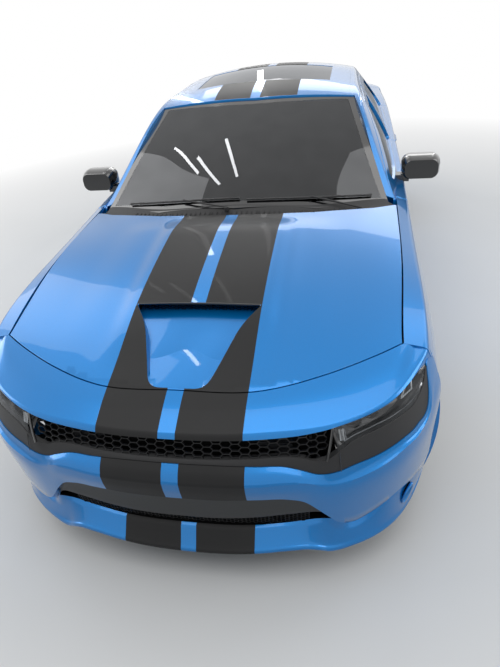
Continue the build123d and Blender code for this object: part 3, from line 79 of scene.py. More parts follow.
class Slot(Enum):
    """The record's material slots."""

    PAINT = "paint"
    TRIM = "trim"
    GLOSS = "gloss_black"
    GLASS = "glass"
    LENS = "lens"
    RED_LENS = "red_lens"
    TYRE = "tyre"
    RIM = "rim"
    IRON = "iron"
    STEEL = "steel"
    BODY_STEEL = "body_steel"
    SEAT = "seat"
    DASH = "dash"


# Shader graphs


def operator(operation: str, swapped: bool = False) -> Callable[..., "Wire"]:
    """Makes one of Wire's operators.

    Args:
        operation: The Math node's operation.
        swapped: Puts the wire after the other value.

    Returns:
        The method.
    """

    def method(wire: "Wire", *others: object) -> "Wire":
        """Adds the Math node."""
        values = (*others, wire) if swapped else (wire, *others)
        return wire.graph.node("ShaderNodeMath", dict(enumerate(values)), operation=operation)

    return method


@dataclass
class Wire:
    """One output socket, which Python's own arithmetic extends with Math nodes."""

    graph: "Graph"
    socket: bpy.types.NodeSocket

    __add__ = __radd__ = operator("ADD")
    __sub__, __rsub__ = operator("SUBTRACT"), operator("SUBTRACT", swapped=True)
    __mul__ = __rmul__ = operator("MULTIPLY")
    __truediv__ = operator("DIVIDE")
    __gt__, __lt__ = operator("GREATER_THAN"), operator("LESS_THAN")
    __abs__ = operator("ABSOLUTE")
    wave = operator("SINE")
    larger = operator("MAXIMUM")

    def capped(self) -> "Wire":
        """This value held between 0 and 1."""
        return self.graph.node("ShaderNodeClamp", {0: self})


class Graph:
    """The node tree of a material or of the world."""

    def __init__(self, owner: bpy.types.ID, end: str = "ShaderNodeOutputMaterial") -> None:
        """Clears the tree.

        Args:
            owner: The material or world.
            end: The output node's type.
        """
        owner.use_nodes = True
        self.owner = owner
        self.tree = owner.node_tree
        self.tree.nodes.clear()
        self.end = self.tree.nodes.new(end)

    def node(self, kind: str, inputs: Optional[dict] = None, output: object = 0, **settings: object) -> Wire:
        """Makes a node.

        Args:
            kind: The node's type name.
            inputs: Values or wires by input name or index.
            output: The output's name or index.
            **settings: Properties set on the node first.

        Returns:
            The chosen output as a wire.
        """
        made = self.tree.nodes.new(kind)
        for key, value in settings.items():
            setattr(made, key, value)
        for key, value in (inputs or {}).items():
            socket = made.inputs[key]
            if isinstance(value, Wire):
                self.tree.links.new(value.socket, socket)
            else:
                socket.default_value = value
        return Wire(self, made.outputs[output])

    def place(self) -> Wire:
        """Object coordinates."""
        return self.node("ShaderNodeTexCoord", output="Object")

    def axes(self, vector: Wire) -> Tuple[Wire, Wire, Wire]:
        """A vector's three numbers."""
        split = self.node("ShaderNodeSeparateXYZ", {0: vector})
        return tuple(Wire(self, socket) for socket in split.socket.node.outputs)

    def noise(self, scale: float, detail: float = 3.0, roughness: float = 0.5) -> Wire:
        """Noise on object coordinates."""
        return self.node("ShaderNodeTexNoise", {"Vector": self.place(), "Scale": scale, "Detail": detail,
                                                "Roughness": roughness})

    def mix(self, factor: object, first: object, second: object) -> Wire:
        """Mixes two colours.

        Args:
            factor: The second colour's share, as a wire or a number.
            first: A wire or an RGB tuple.
            second: A wire or an RGB tuple.

        Returns:
            The mixed colour.
        """
        mixer = self.tree.nodes.new("ShaderNodeMix")
        mixer.data_type = "RGBA"
        sockets = {socket.identifier: socket for socket in mixer.inputs}
        for name, value in (("Factor_Float", factor), ("A_Color", first), ("B_Color", second)):
            if isinstance(value, Wire):
                self.tree.links.new(value.socket, sockets[name])
            else:
                sockets[name].default_value = value if name == "Factor_Float" else (*value, 1.0)
        return Wire(self, next(socket for socket in mixer.outputs if socket.identifier == "Result_Color"))

    def bump(self, height: Wire, depth: float) -> Wire:
        """A bumped normal, with the depth in metres."""
        return self.node("ShaderNodeBump", {"Height": height, "Distance": depth, "Strength": 1.0}, output="Normal")

    def surface(self, shader: Wire) -> bpy.types.ID:
        """Ends the graph on a shader and returns its owner."""
        self.tree.links.new(shader.socket, self.end.inputs["Surface"])
        return self.owner


def tinted(colour: Colour, share: float) -> Colour:
    """A colour scaled by a share, kept under 1."""
    return tuple(min(channel * share, 1.0) for channel in colour)


@dataclass(frozen=True)
class Finish:
    """A surface's look: colour with mottling, gloss with its wear, and a fine relief."""

    name: str
    slot: Slot
    colour: Colour
    roughness: float = 0.5
    metallic: float = 0.0
    coat: float = 0.0
    mottle: float = 0.12
    mottle_scale: float = 9.0
    grain: float = 300.0
    grain_depth: float = 0.0
    specular: float = 0.5

    def make(self) -> bpy.types.Material:
        """Builds the material."""
        graph = Graph(bpy.data.materials.new(self.name))
        cloud = graph.noise(self.mottle_scale)
        grain = graph.noise(self.grain, 4.0, 0.6)
        colour = graph.mix(cloud, tinted(self.colour, 1.0 - self.mottle), tinted(self.colour, 1.0 + self.mottle))
        inputs = {"Base Color": colour, "Roughness": (cloud - 0.5) * (0.2 * self.roughness) + self.roughness,
                  "Metallic": self.metallic, "Coat Weight": self.coat, "Coat Roughness": 0.05,
                  "Specular IOR Level": self.specular}
        if self.grain_depth:
            inputs["Normal"] = graph.bump(grain, self.grain_depth)
        return graph.surface(graph.node("ShaderNodeBsdfPrincipled", inputs))


@dataclass(frozen=True)
class Paint(Finish):
    """Metallic paint under clear coat, with painted light and shade that change with the viewing angle, and two satin
    stripes along the car where striped.
    """

    striped: bool = False
    stripe: Pair = (0.030, 0.257)
    stripe_colour: Colour = (0.0055, 0.0056, 0.0060)

    def make(self) -> bpy.types.Material:
        """Builds the material."""
        graph = Graph(bpy.data.materials.new(self.name))
        flake = graph.node("ShaderNodeTexVoronoi", {"Vector": graph.place(), "Scale": 900.0}, output="Color")
        spark = graph.axes(flake)[0]
        # Painted light and shade: a lit copy of the paint where the surface faces the view, and a shaded copy where it
        # is seen edge-on.
        facing = graph.node("ShaderNodeLayerWeight", {"Blend": 0.35}, output="Facing")
        lit_and_shaded_blue = graph.mix(facing, tinted(self.colour, 1.12), tinted(self.colour, 0.62))
        lit_and_shaded_blue = graph.mix(spark * 0.16, lit_and_shaded_blue, tinted(self.colour, 1.7))
        peel = graph.noise(90.0, 2.0)
        bumped = graph.bump(peel, 0.00006)
        inputs = {"Metallic": self.metallic, "Roughness": self.roughness, "Base Color": lit_and_shaded_blue,
                  "Coat Weight": self.coat, "Coat Roughness": 0.03, "Coat IOR": 1.4, "Specular IOR Level": 0.3,
                  "Normal": bumped}
        if self.striped:
            across = abs(graph.axes(graph.place())[0])
            mask = (across > self.stripe[0]) * (across < self.stripe[1])
            soot = graph.noise(14.0)
            satin = graph.mix(soot, self.stripe_colour, tinted(self.stripe_colour, 1.5))
            inputs["Base Color"] = graph.mix(mask, lit_and_shaded_blue, satin)
            inputs["Roughness"] = mask * (0.50 - self.roughness) + self.roughness
            inputs["Metallic"] = (1.0 - mask) * self.metallic
            inputs["Coat Weight"] = (1.0 - mask) * (self.coat - 0.04) + 0.04
        return graph.surface(graph.node("ShaderNodeBsdfPrincipled", inputs))


@dataclass(frozen=True)
class Glazing(Finish):
    """Clear or tinted glass: a see-through colour under a mirror that grows towards the edge of the view."""

    clear: Colour = (0.2, 0.22, 0.22)
    index: float = 1.5

    def make(self) -> bpy.types.Material:
        """Builds the material."""
        graph = Graph(bpy.data.materials.new(self.name))
        dust = graph.noise(self.mottle_scale)
        tint = graph.mix(dust, tinted(self.clear, 0.94), self.clear)
        through = graph.node("ShaderNodeBsdfTransparent", {"Color": tint})
        mirror = graph.node("ShaderNodeBsdfGlossy", {"Color": (0.95, 0.97, 1.0, 1.0), "Roughness": self.roughness})
        share = graph.node("ShaderNodeFresnel", {"IOR": self.index})
        share = (share + dust * 0.02).capped()
        return graph.surface(graph.node("ShaderNodeMixShader", {0: share, 1: through, 2: mirror}))


@dataclass(frozen=True)
class Glow(Finish):
    """A lit lens: its colour glows a little through fine optic ribs."""

    power: float = 1.0

    def make(self) -> bpy.types.Material:
        """Builds the material."""
        graph = Graph(bpy.data.materials.new(self.name))
        across = graph.axes(graph.place())[0]
        ribs = (across * 900.0).wave() * 0.5 + 0.5
        colour = graph.mix(ribs, tinted(self.colour, 0.55), self.colour)
        inputs = {"Base Color": colour, "Roughness": self.roughness, "Coat Weight": self.coat,
                  "Emission Color": colour, "Emission Strength": self.power, "Normal": graph.bump(ribs, 0.0004)}
        return graph.surface(graph.node("ShaderNodeBsdfPrincipled", inputs))


BLUE = (0.0003, 0.175, 0.50)


class Look(Enum):
    """Every finish of the car."""

    PAINT = Paint("paint_blue", Slot.PAINT, BLUE, 0.30, 0.55, 1.0)
    STRIPED = Paint("paint_striped", Slot.PAINT, BLUE, 0.30, 0.55, 1.0, striped=True)
    MATTE = Finish("matte_black", Slot.TRIM, (0.014, 0.014, 0.015), 0.55, grain_depth=0.0001)
    # Painted shade: a near-black finish with little gloss for pockets, slots, the scoop's duct and the sheet behind the
    # grille, where there is only shade.
    GREY = Finish("moulded_grey", Slot.TRIM, (0.026, 0.028, 0.030), 0.5, grain_depth=0.00015)
    SHADE_BLACK = Finish("painted_shade_black", Slot.TRIM, (0.003, 0.003, 0.003), 0.8, specular=0.1)
    GLOSS = Finish("gloss_black", Slot.GLOSS, (0.005, 0.005, 0.006), 0.12, coat=1.0, mottle=0.1)
    MESH = Finish("grille_black", Slot.GLOSS, (0.010, 0.010, 0.011), 0.30, coat=0.4)
    CHROME = Finish("bright_metal", Slot.LENS, (0.80, 0.81, 0.83), 0.10, 1.0, mottle=0.05)
    REFLECTOR = Finish("lamp_bowl", Slot.LENS, (0.16, 0.155, 0.15), 0.25, 0.8, mottle=0.4, mottle_scale=60.0)
    WHITE = Glow("lamp_white", Slot.LENS, (0.85, 0.88, 0.9), 0.2, coat=1.0, power=0.35)
    LENS = Glazing("lamp_lens", Slot.LENS, (1, 1, 1), 0.02, clear=(0.62, 0.63, 0.64), index=1.45)
    GLASS = Glazing("tinted_glass", Slot.GLASS, (1, 1, 1), 0.0, clear=(0.36, 0.385, 0.39), index=1.52)
    DARK_GLASS = Glazing("privacy_glass", Slot.GLASS, (1, 1, 1), 0.0, clear=(0.12, 0.125, 0.13), index=1.52)
    RED = Glow("tail_red", Slot.RED_LENS, (0.42, 0.006, 0.008), 0.12, coat=1.0, power=0.25)
    RUBBER = Finish("rubber", Slot.TYRE, (0.018, 0.018, 0.019), 0.72, grain_depth=0.0002, grain=500.0)
    RIM = Finish("wheel_black", Slot.RIM, (0.022, 0.022, 0.024), 0.28, 0.6, coat=0.6)
    IRON = Finish("cast_iron", Slot.IRON, (0.10, 0.098, 0.094), 0.5, 0.9, grain_depth=0.0002)
    STEEL = Finish("steel", Slot.STEEL, (0.36, 0.37, 0.38), 0.32, 1.0, mottle=0.2)
    UNDERSEAL = Finish("underseal", Slot.BODY_STEEL, (0.030, 0.031, 0.033), 0.65, grain_depth=0.0003, grain=120.0)
    LEATHER = Finish("seat_leather", Slot.SEAT, (0.022, 0.022, 0.024), 0.46, grain_depth=0.0003, grain=240.0)
    DASH = Finish("dash_plastic", Slot.DASH, (0.022, 0.022, 0.023), 0.6, grain_depth=0.0002, grain=260.0)
    PLATE = Finish("blank_plate", Slot.TRIM, (0.72, 0.72, 0.70), 0.35, mottle=0.03)


class Palette:
    """Makes each material once."""

    def __init__(self) -> None:
        self._made: Dict[Look, bpy.types.Material] = {}

    def get(self, look: Look) -> bpy.types.Material:
        """The material of a look."""
        if look not in self._made:
            self._made[look] = look.value.make()
        return self._made[look]


PALETTE = Palette()

# Curves and meshes


def slopes(knots: Array, values: Array) -> Array:
    """The slope at each knot of a smooth curve through the values.

    Args:
        knots: Rising places of the values.
        values: One row for each knot.

    Returns:
        One row of slopes for each knot.
    """
    steps = np.diff(knots)[:, None]
    rise = np.diff(values, axis=0) / steps
    middle = (rise[1:] * steps[:-1] + rise[:-1] * steps[1:]) / (steps[:-1] + steps[1:])
    return np.vstack([rise[:1], middle, rise[-1:]])


def through(knots: Sequence[float], values: Sequence, places: Sequence[float]) -> Array:
    """A smooth curve through values at knots.

    Args:
        knots: Rising places of the values.
        values: One row of numbers for each knot.
        places: Where the curve is read.

    Returns:
        One row for each place.
    """
    knots, places = np.asarray(knots, float), np.asarray(places, float)
    values = np.asarray(values, float).reshape(len(knots), -1)
    tangent = slopes(knots, values)
    index = np.clip(np.searchsorted(knots, places, side="right") - 1, 0, len(knots) - 2)
    step = (knots[index + 1] - knots[index])[:, None]
    t = ((places - knots[index])[:, None] / step).clip(0, 1)
    low, high = values[index], values[index + 1]
    return ((2 * t**3 - 3 * t**2 + 1) * low + (t**3 - 2 * t**2 + t) * step * tangent[index]
            + (3 * t**2 - 2 * t**3) * high + (t**3 - t**2) * step * tangent[index + 1])


def smoothstep(value: Array, low: float, high: float) -> Array:
    """0 at low, 1 at high, and level at both."""
    share = np.clip((value - low) / (high - low), 0.0, 1.0)
    return share * share * (3.0 - 2.0 * share)


def rounded(corners: Sequence[Triple], steps: int = 6) -> Array:
    """A closed outline with rounded corners.

    Args:
        corners: The corners as (x, y, radius).
        steps: Sides of each rounding.

    Returns:
        The outline's points.
    """
    points: List[Array] = []
    count = len(corners)
    for i, (x, y, radius) in enumerate(corners):
        here = np.array((x, y), float)
        if radius <= 0:
            points.append(here)
            continue
        before = np.array(corners[i - 1][:2], float) - here
        after = np.array(corners[(i + 1) % count][:2], float) - here
        reach = min(radius, 0.45 * np.linalg.norm(before), 0.45 * np.linalg.norm(after))
        start, stop = here + before / np.linalg.norm(before) * reach, here + after / np.linalg.norm(after) * reach
        for t in np.linspace(0, 1, steps + 1):
            points.append((1 - t) ** 2 * start + 2 * t * (1 - t) * here + t**2 * stop)
    return np.array(points)


def divided(loop: Array, spacing: float, closed: bool = True) -> Array:
    """A polyline with points added.

    Args:
        loop: The points.
        spacing: The greatest length of a side.
        closed: Joins the last point to the first.

    Returns:
        The points of the divided line.
    """
    points: List[Array] = []
    last = len(loop) if closed else len(loop) - 1
    for i in range(last):
        start, stop = loop[i], loop[(i + 1) % len(loop)]
        parts = max(1, int(math.ceil(np.linalg.norm(stop - start) / spacing)))
        points.extend(start + (stop - start) * k / parts for k in range(parts))
    if not closed:
        points.append(loop[-1])
    return np.array(points)


def outward(loop: Array) -> Array:
    """The outward direction in plan at each point of a loop.

    Args:
        loop: The points, counter-clockwise.

    Returns:
        A unit row for each point.
    """
    ahead = np.roll(loop, -1, axis=0) - loop
    behind = loop - np.roll(loop, 1, axis=0)
    ahead /= np.maximum(np.linalg.norm(ahead, axis=1, keepdims=True), 1e-9)
    behind /= np.maximum(np.linalg.norm(behind, axis=1, keepdims=True), 1e-9)
    along = ahead + behind
    along /= np.maximum(np.linalg.norm(along, axis=1, keepdims=True), 1e-9)
    return np.stack([along[:, 1], -along[:, 0]], axis=1)


def around(count: int) -> Array:
    """Equal turns round a circle, in radians."""
    return np.linspace(0, 2 * math.pi, count, endpoint=False)


def circle(radius: float, depth: float, angles: Array) -> List[Triple]:
    """Points round the z axis at a depth along it."""
    return [(radius * math.cos(angle), radius * math.sin(angle), depth) for angle in angles]


def area(loop: Array) -> float:
    """The signed area of a plan loop, positive when counter-clockwise."""
    x, y = loop[:, 0], loop[:, 1]
    return 0.5 * float(np.sum(x * np.roll(y, -1) - y * np.roll(x, -1)))


@dataclass
class Mesher:
    """Collects points and faces in millimetres and makes one piece of them."""

    name: str
    looks: List[Look]
    points: List[Array] = field(default_factory=list)
    faces: List[Tuple[int, ...]] = field(default_factory=list)
    marks: List[int] = field(default_factory=list)
    count: int = 0

    def add_points(self, points: Sequence) -> int:
        """Adds points and returns the first one's number."""
        first = self.count
        self.points.append(np.asarray(points, float).reshape(-1, 3))
        self.count += len(self.points[-1])
        return first

    def add_faces(self, points: Sequence, faces: Sequence[Sequence[int]], look: int = 0) -> None:
        """Adds faces that are numbered from their own points.

        Args:
            points: The points.
            faces: Each face's points by number.
            look: Index into looks.
        """
        first = self.add_points(points)
        self.faces += [tuple(first + i for i in face) for face in faces]
        self.marks += [look] * len(faces)

    def cap(self, ring: Sequence, look: int = 0, flip: bool = False) -> None:
        """Closes a ring of points with one face, which flip turns over."""
        corners = range(len(ring))
        self.add_faces(ring, [corners[::-1] if flip else corners], look)

    def grid(self, rows: Sequence, look: int = 0, flip: bool = False, ring: bool = False,
             keep: Optional[Callable[[int, int], bool]] = None) -> None:
        """Adds a grid of quads.

        Args:
            rows: Points as (rows, columns, 3).
            look: Index into looks.
            flip: Turns the faces over.
            ring: Joins the last column to the first.
            keep: Says whether the face at (row, column) is made.
        """
        rows = np.asarray(rows, float)
        height, width = rows.shape[:2]
        first = self.add_points(rows)
        for r in range(height - 1):
            for c in range(width if ring else width - 1):
                if keep and not keep(r, c):
                    continue
                d = (c + 1) % width
                near, far = first + r * width, first + (r + 1) * width
                quad = (near + c, far + c, far + d, near + d)
                self.faces.append(quad[::-1] if flip else quad)
                self.marks.append(look)

    def sheet(self, outline: Array, spacing: float, height: Callable[[Array, Array], Array], look: int = 0,
              holes: Sequence[Array] = (), flip: bool = False, lines: Sequence[Array] = ()) -> None:
        """Adds a triangulated sheet over a plan outline, facing up.

        Args:
            outline: Counter-clockwise loop in plan.
            spacing: Distance between inner points.
            height: z for arrays of x and y.
            look: Index into looks.
            holes: Loops left open.
            flip: Faces down instead.
            lines: Open polylines that the triangles follow.
        """
        low, high = outline.min(0), outline.max(0)
        xs = np.arange(low[0] + spacing / 2, high[0], spacing)
        ys = np.arange(low[1] + spacing / 2, high[1], spacing)
        cloud = np.array([(x + (k % 2) * spacing / 2, y) for k, y in enumerate(ys) for x in xs])
        keep = inside(cloud, outline, spacing * 0.45)
        for hole in holes:
            keep &= ~inside(cloud, hole, -spacing * 0.45)
        for line in lines:
            keep &= distance(cloud, line) > spacing * 0.45
        cloud = cloud[keep]
        loops = [outline, *holes]
        points = [Vector(p) for loop in loops for p in loop] + [Vector(p) for line in lines for p in line]
        edges, start = [], 0
        for loop in loops:
            edges += [(start + i, start + (i + 1) % len(loop)) for i in range(len(loop))]
            start += len(loop)
        for line in lines:
            edges += [(start + i, start + i + 1) for i in range(len(line) - 1)]
            start += len(line)
        points += [Vector(p) for p in cloud]
        made, _, faces, _, _, _ = delaunay_2d_cdt(points, edges, [], 0, 1e-4)
        flat = np.array([tuple(p) for p in made])
        centres = np.array([flat[list(face)].mean(0) for face in faces])
        good = inside(centres, outline, 0.0)
        for hole in holes:
            good &= ~inside(centres, hole, 0.0)
        first = self.add_points(np.column_stack([flat, height(flat[:, 0], flat[:, 1])]))
        for face, fits in zip(faces, good):
            if not fits:
                continue
            corners = [int(i) for i in face]
            turned = area(flat[corners]) < 0
            if turned != flip:
                corners.reverse()
            self.faces.append(tuple(first + i for i in corners))
            self.marks.append(look)

    def tube(self, path: Sequence, radius: float, look: int = 0, sides: int = 8, closed: bool = False) -> None:
        """Adds a round tube.

        Args:
            path: The points of its middle.
            radius: The tube's radius.
            look: Index into looks.
            sides: Sides of its round.
            closed: Joins the end to the start.
        """
        path = np.asarray(path, float)
        ahead = np.gradient(path, axis=0) if not closed else np.roll(path, -1, 0) - np.roll(path, 1, 0)
        ahead /= np.linalg.norm(ahead, axis=1, keepdims=True)
        up = np.array((0.0, 0.0, 1.0)) if abs(ahead[0][2]) < 0.9 else np.array((0.0, 1.0, 0.0))
        side = np.cross(ahead, up)
        side /= np.linalg.norm(side, axis=1, keepdims=True)
        top = np.cross(side, ahead)
        turns = around(sides)[None, :, None]
        ring = path[:, None] + radius * (np.cos(turns) * side[:, None] + np.sin(turns) * top[:, None])
        if closed:
            ring = np.concatenate([ring, ring[:1]])
        self.grid(ring, look, ring=True, flip=True)
        if not closed:
            self.cap(ring[0], look, flip=True)
            self.cap(ring[-1], look)

    def box(self, centre: Sequence[float], size: Sequence[float], bevel: float = 3.0, look: int = 0) -> None:
        """Adds a box with rounded edges.

        Args:
            centre: Its middle.
            size: Its width, depth and height.
            bevel: The radius of its edges.
            look: Index into looks.
        """
        half = np.array(size, float) / 2
        b = min(bevel, 0.9 * half.min())
        rings = []
        for end, rise, inset in ((-1, 0.0, b), (-1, b * 0.3, b * 0.3), (-1, b, 0.0), (1, b, 0.0), (1, b * 0.3, b * 0.3),
                                 (1, 0.0, b)):
            z = end * (half[2] - rise)
            hx, hy = half[0] - inset, half[1] - inset
            loop = rounded([(-hx, -hy, b), (hx, -hy, b), (hx, hy, b), (-hx, hy, b)], 3)
            rings.append(np.column_stack([loop, np.full(len(loop), z)]))
        rings = np.array(rings) + np.array(centre, float)
        self.grid(rings, look, ring=True, flip=True)
        self.cap(rings[0], look, flip=True)
        self.cap(rings[-1], look)

    def build(self, body: Body, sharp: float = 40.0, weld: float = 0.02,
              replaces: Iterable[str] = ()) -> bpy.types.Object:
        """Makes the piece.

        Args:
            body: The body it rides on.
            sharp: Edges turned by more than this, in degrees, stay sharp.
            weld: Points nearer than this are joined.
            replaces: CAD nodes it stands for.

        Returns:
            The new object.
        """
        mesh = bpy.data.meshes.new(self.name)
        points = np.vstack(self.points)
        keys = np.round(points / max(weld, 1e-6)).astype(np.int64)
        _, first, inverse = np.unique(keys, axis=0, return_index=True, return_inverse=True)
        inverse = inverse.reshape(-1)
        clean, marks = [], []
        for face, mark in zip(self.faces, self.marks):
            corners: List[int] = []
            for i in face:
                j = int(inverse[i])
                if j not in corners:
                    corners.append(j)
            if len(corners) > 2:
                clean.append(corners)
                marks.append(mark)
        mesh.from_pydata((points[first] * MM).tolist(), [], clean)
        for look in self.looks:
            mesh.materials.append(PALETTE.get(look))
        mesh.polygons.foreach_set("material_index", marks)
        mesh.validate()
        mesh.shade_smooth()
        mesh.set_sharp_from_angle(angle=math.radians(sharp))
        return ridden(linked(self.name, mesh), body, self.looks[0], replaces)


def linked(name: str, data: bpy.types.ID) -> bpy.types.Object:
    """Makes an object of some data and puts it in the scene."""
    made = bpy.data.objects.new(name, data)
    bpy.context.scene.collection.objects.link(made)
    return made


def mesh_points(mesh: bpy.types.Mesh) -> Array:
    """A mesh's points, one row each."""
    points = np.empty(len(mesh.vertices) * 3)
    mesh.vertices.foreach_get("co", points)
    return points.reshape(-1, 3)


def turned_out(made: bpy.types.Object) -> None:
    """Points a closed piece's faces outwards.

    Args:
        made: The piece.
    """
    mesh = bmesh.new()
    mesh.from_mesh(made.data)
    bmesh.ops.recalc_face_normals(mesh, faces=mesh.faces)
    mesh.to_mesh(made.data)
    mesh.free()


def ridden(made: bpy.types.Object, body: Body, look: Look, replaces: Iterable[str] = ()) -> bpy.types.Object:
    """Puts a piece on its body of the frame and hides the CAD nodes that it stands for.

    Args:
        made: The piece.
        body: The body it rides on.
        look: The piece's first finish; not used.
        replaces: CAD nodes it stands for.

    Returns:
        The piece.
    """
    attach(made, body.value)
    if replaces:
        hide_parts(*replaces)
    return made


def inside(points: Array, loop: Array, margin: float) -> Array:
    """Which points are inside a loop.

    Args:
        points: Plan points.
        loop: The loop's points.
        margin: The least distance to the loop, or how far outside still counts where it is negative.

    Returns:
        True for each point inside.
    """
    x, y = points[:, 0][:, None], points[:, 1][:, None]
    ax, ay = loop[:, 0][None], loop[:, 1][None]
    bx, by = np.roll(loop[:, 0], -1)[None], np.roll(loop[:, 1], -1)[None]
    crossing = (ay > y) != (by > y)
    with np.errstate(divide="ignore", invalid="ignore"):
        where = (bx - ax) * (y - ay) / (by - ay) + ax
    within = (np.sum(crossing & (x < where), axis=1) % 2) == 1
    if margin == 0:
        return within
    near = distance(points, np.vstack([loop, loop[:1]]))
    return within & (near > margin) if margin > 0 else within | (near < -margin)


def distance(points: Array, line: Array) -> Array:
    """Each point's distance to a polyline.

    Args:
        points: Plan points.
        line: The polyline's points.

    Returns:
        One distance for each point.
    """
    start, stop = line[:-1][None], line[1:][None]
    along = stop - start
    share = np.sum((points[:, None] - start) * along, axis=2) / np.maximum(np.sum(along**2, axis=2), 1e-9)
    nearest = start + np.clip(share, 0, 1)[..., None] * along
    return np.min(np.linalg.norm(points[:, None] - nearest, axis=2), axis=1)


def raised(loop: Array, height: Callable[[Array, Array], Array], lift: float = 0.0) -> Array:
    """Plan points lifted onto a surface."""
    return np.column_stack([loop, height(loop[:, 0], loop[:, 1]) + lift])


def hemmed(loop: Array, height: Callable[[Array, Array], Array], steps: Sequence[Pair]) -> Array:
    """Rows of an edge rolled over.

    Args:
        loop: The edge in plan.
        height: The surface's height for arrays of x and y.
        steps: How far out and up each row is from the edge.

    Returns:
        The rows, from the edge on.
    """
    out = outward(loop)
    level = height(loop[:, 0], loop[:, 1])
    return np.array([np.column_stack([loop + out * reach, level + lift]) for reach, lift in steps])


# The skin of the car's nose and bonnet, from the same tables as the frame's: each rib's
# x, y, low_in, low_z, mid_z, shoulder_in, shoulder_z, top_in, top_z
RIBS = np.array([
    (0, -2515, 22, 190, 500, 62, 738, 215, 800),
    (330, -2495, 22, 190, 500, 62, 742, 208, 805),
    (600, -2430, 24, 190, 505, 64, 752, 236, 819),
    (785, -2310, 28, 192, 520, 66, 776, 220, 833),
    (885, -2165, 34, 196, 545, 68, 812, 178, 843),
    (928, -2060, 42, 200, 575, 70, 836, 150, 852),
    (938, -1850, 46, 200, 590, 74, 870, 146, 890),
], float)


class Skin:
    """The nose's outer surface: a plan curve round the front and an upright outline along it."""

    def __init__(self, ribs: Array) -> None:
        """Lays the curve through the ribs of one side and their mirror images.

        Args:
            ribs: One row for each rib, from the middle out.
        """
        left = ribs[1:][::-1].copy()
        left[:, 0] *= -1
        rows = np.vstack([left, ribs])
        self.knots = np.concatenate([[0], np.cumsum(np.hypot(*np.diff(rows[:, :2], axis=0).T))])
        self.dense = np.linspace(0, self.knots[-1], 4001)
        self.table = through(self.knots, rows, self.dense)
        flow = np.gradient(self.table[:, :2], axis=0)
        flow /= np.linalg.norm(flow, axis=1, keepdims=True)
        self.normal = np.stack([flow[:, 1], -flow[:, 0]], axis=1)

    def where(self, x: Array) -> Array:
        """How far along the plan curve a place across the car is."""
        return np.interp(x, self.table[:, 0], self.dense)

    def read(self, t: Array, column: Array) -> Array:
        """A column's values at places on the plan curve."""
        return np.interp(t, self.dense, column)

    def across(self, t: Array) -> Array:
        """How far across the car places on the plan curve are."""
        return self.read(t, self.table[:, 0])

    def depth(self, t: Array, z: Array) -> Array:
        """How far inside the plan curve the surface is.

        Args:
            t: Places on the plan curve.
            z: Heights.

        Returns:
            One depth for each place.
        """
        rib = (self.read(t, column) for column in self.table.T[2:])
        low_in, low_z, mid, shoulder_in, shoulder_z, top_in, top_z = rib
        below = low_in * ((mid - z) / (mid - low_z)) ** 2
        above = shoulder_in * ((z - mid) / (shoulder_z - mid)) ** 2
        over = shoulder_in + (top_in - shoulder_in) * (z - shoulder_z) / (top_z - shoulder_z)
        return np.where(z < mid, below, np.where(z < shoulder_z, above, over))

    def point(self, t: Array, sunk: Array, z: Array) -> Array:
        """Points on the surface.

        Args:
            t: Places on the plan curve.
            sunk: How deep each point is sunk into the surface.
            z: Heights.

        Returns:
            The points.
        """
        t, sunk, z = np.broadcast_arrays(np.asarray(t, float), np.asarray(sunk, float), np.asarray(z, float))
        inward = self.depth(t, z) + sunk
        x = self.across(t) - self.read(t, self.normal[:, 0]) * inward
        y = self.read(t, self.table[:, 1]) - self.read(t, self.normal[:, 1]) * inward
        return np.stack([x, y, z], axis=-1)


SKIN = Skin(RIBS)
# y, edge_z, crown_z
BOWS = np.array([(-2360, 770, 783), (-2189, 815, 832), (-2060, 850, 866), (-1800, 903, 922), (-1500, 946, 970),
                 (-1150, 966, 1006), (-900, 974, 1016)], float)
BOW_HALF = 815.0


def bonnet_base(x: Array, y: Array) -> Array:
    """The bonnet's height without its dome.

    Args:
        x: Places across the car.
        y: Places along it.

    Returns:
        Heights, in the shape of x.
    """
    edge, crown = through(BOWS[:, 0], BOWS[:, 1:], np.ravel(y)).T
    level = crown - (crown - edge) * (np.ravel(x) / BOW_HALF) ** 2
    return level.reshape(np.shape(x))


# Stations across the nose, as places on the plan curve
STATIONS = (0, 150, 300, 400, 455, 500, 535, 570, 620, 700, 785, 845, 885, 903, 928)


@dataclass(frozen=True)
class Line:
    """A feature line round the nose: how far it is sunk and how high it is at each station."""

    sunk: Tuple[float, ...]
    z: Tuple[float, ...]

    def at(self, t: Array, raised: float = 0.0, deeper: float = 0.0) -> Array:
        """Points of the line.

        Args:
            t: Places on the plan curve.
            raised: How far they are moved up.
            deeper: How far they are moved in.

        Returns:
            The points.
        """
        right = SKIN.where(np.array(STATIONS, float))
        left = SKIN.where(-np.array(STATIONS[1:], float))[::-1]
        knots = np.concatenate([left, right])
        values = np.array([self.sunk, self.z]).T
        sunk, z = through(knots, np.vstack([values[1:][::-1], values]), t).T
        return SKIN.point(t, sunk + deeper, z + raised)


def rows_between(lines: Sequence[Array], counts: Sequence[int]) -> Array:
    """Rows of points that pass smoothly through several lines of points.

    Args:
        lines: The lines, each with the same number of points.
        counts: The number of rows from each line to the next.

    Returns:
        The rows.
    """
    places: List[float] = []
    for k, count in enumerate(counts):
        places.extend(k + i / count for i in range(count))
    places.append(float(len(counts)))
    stack = np.array(lines)
    flat = through(np.arange(len(lines)), stack.reshape(len(lines), -1), places)
    return flat.reshape(len(places), *stack.shape[1:])


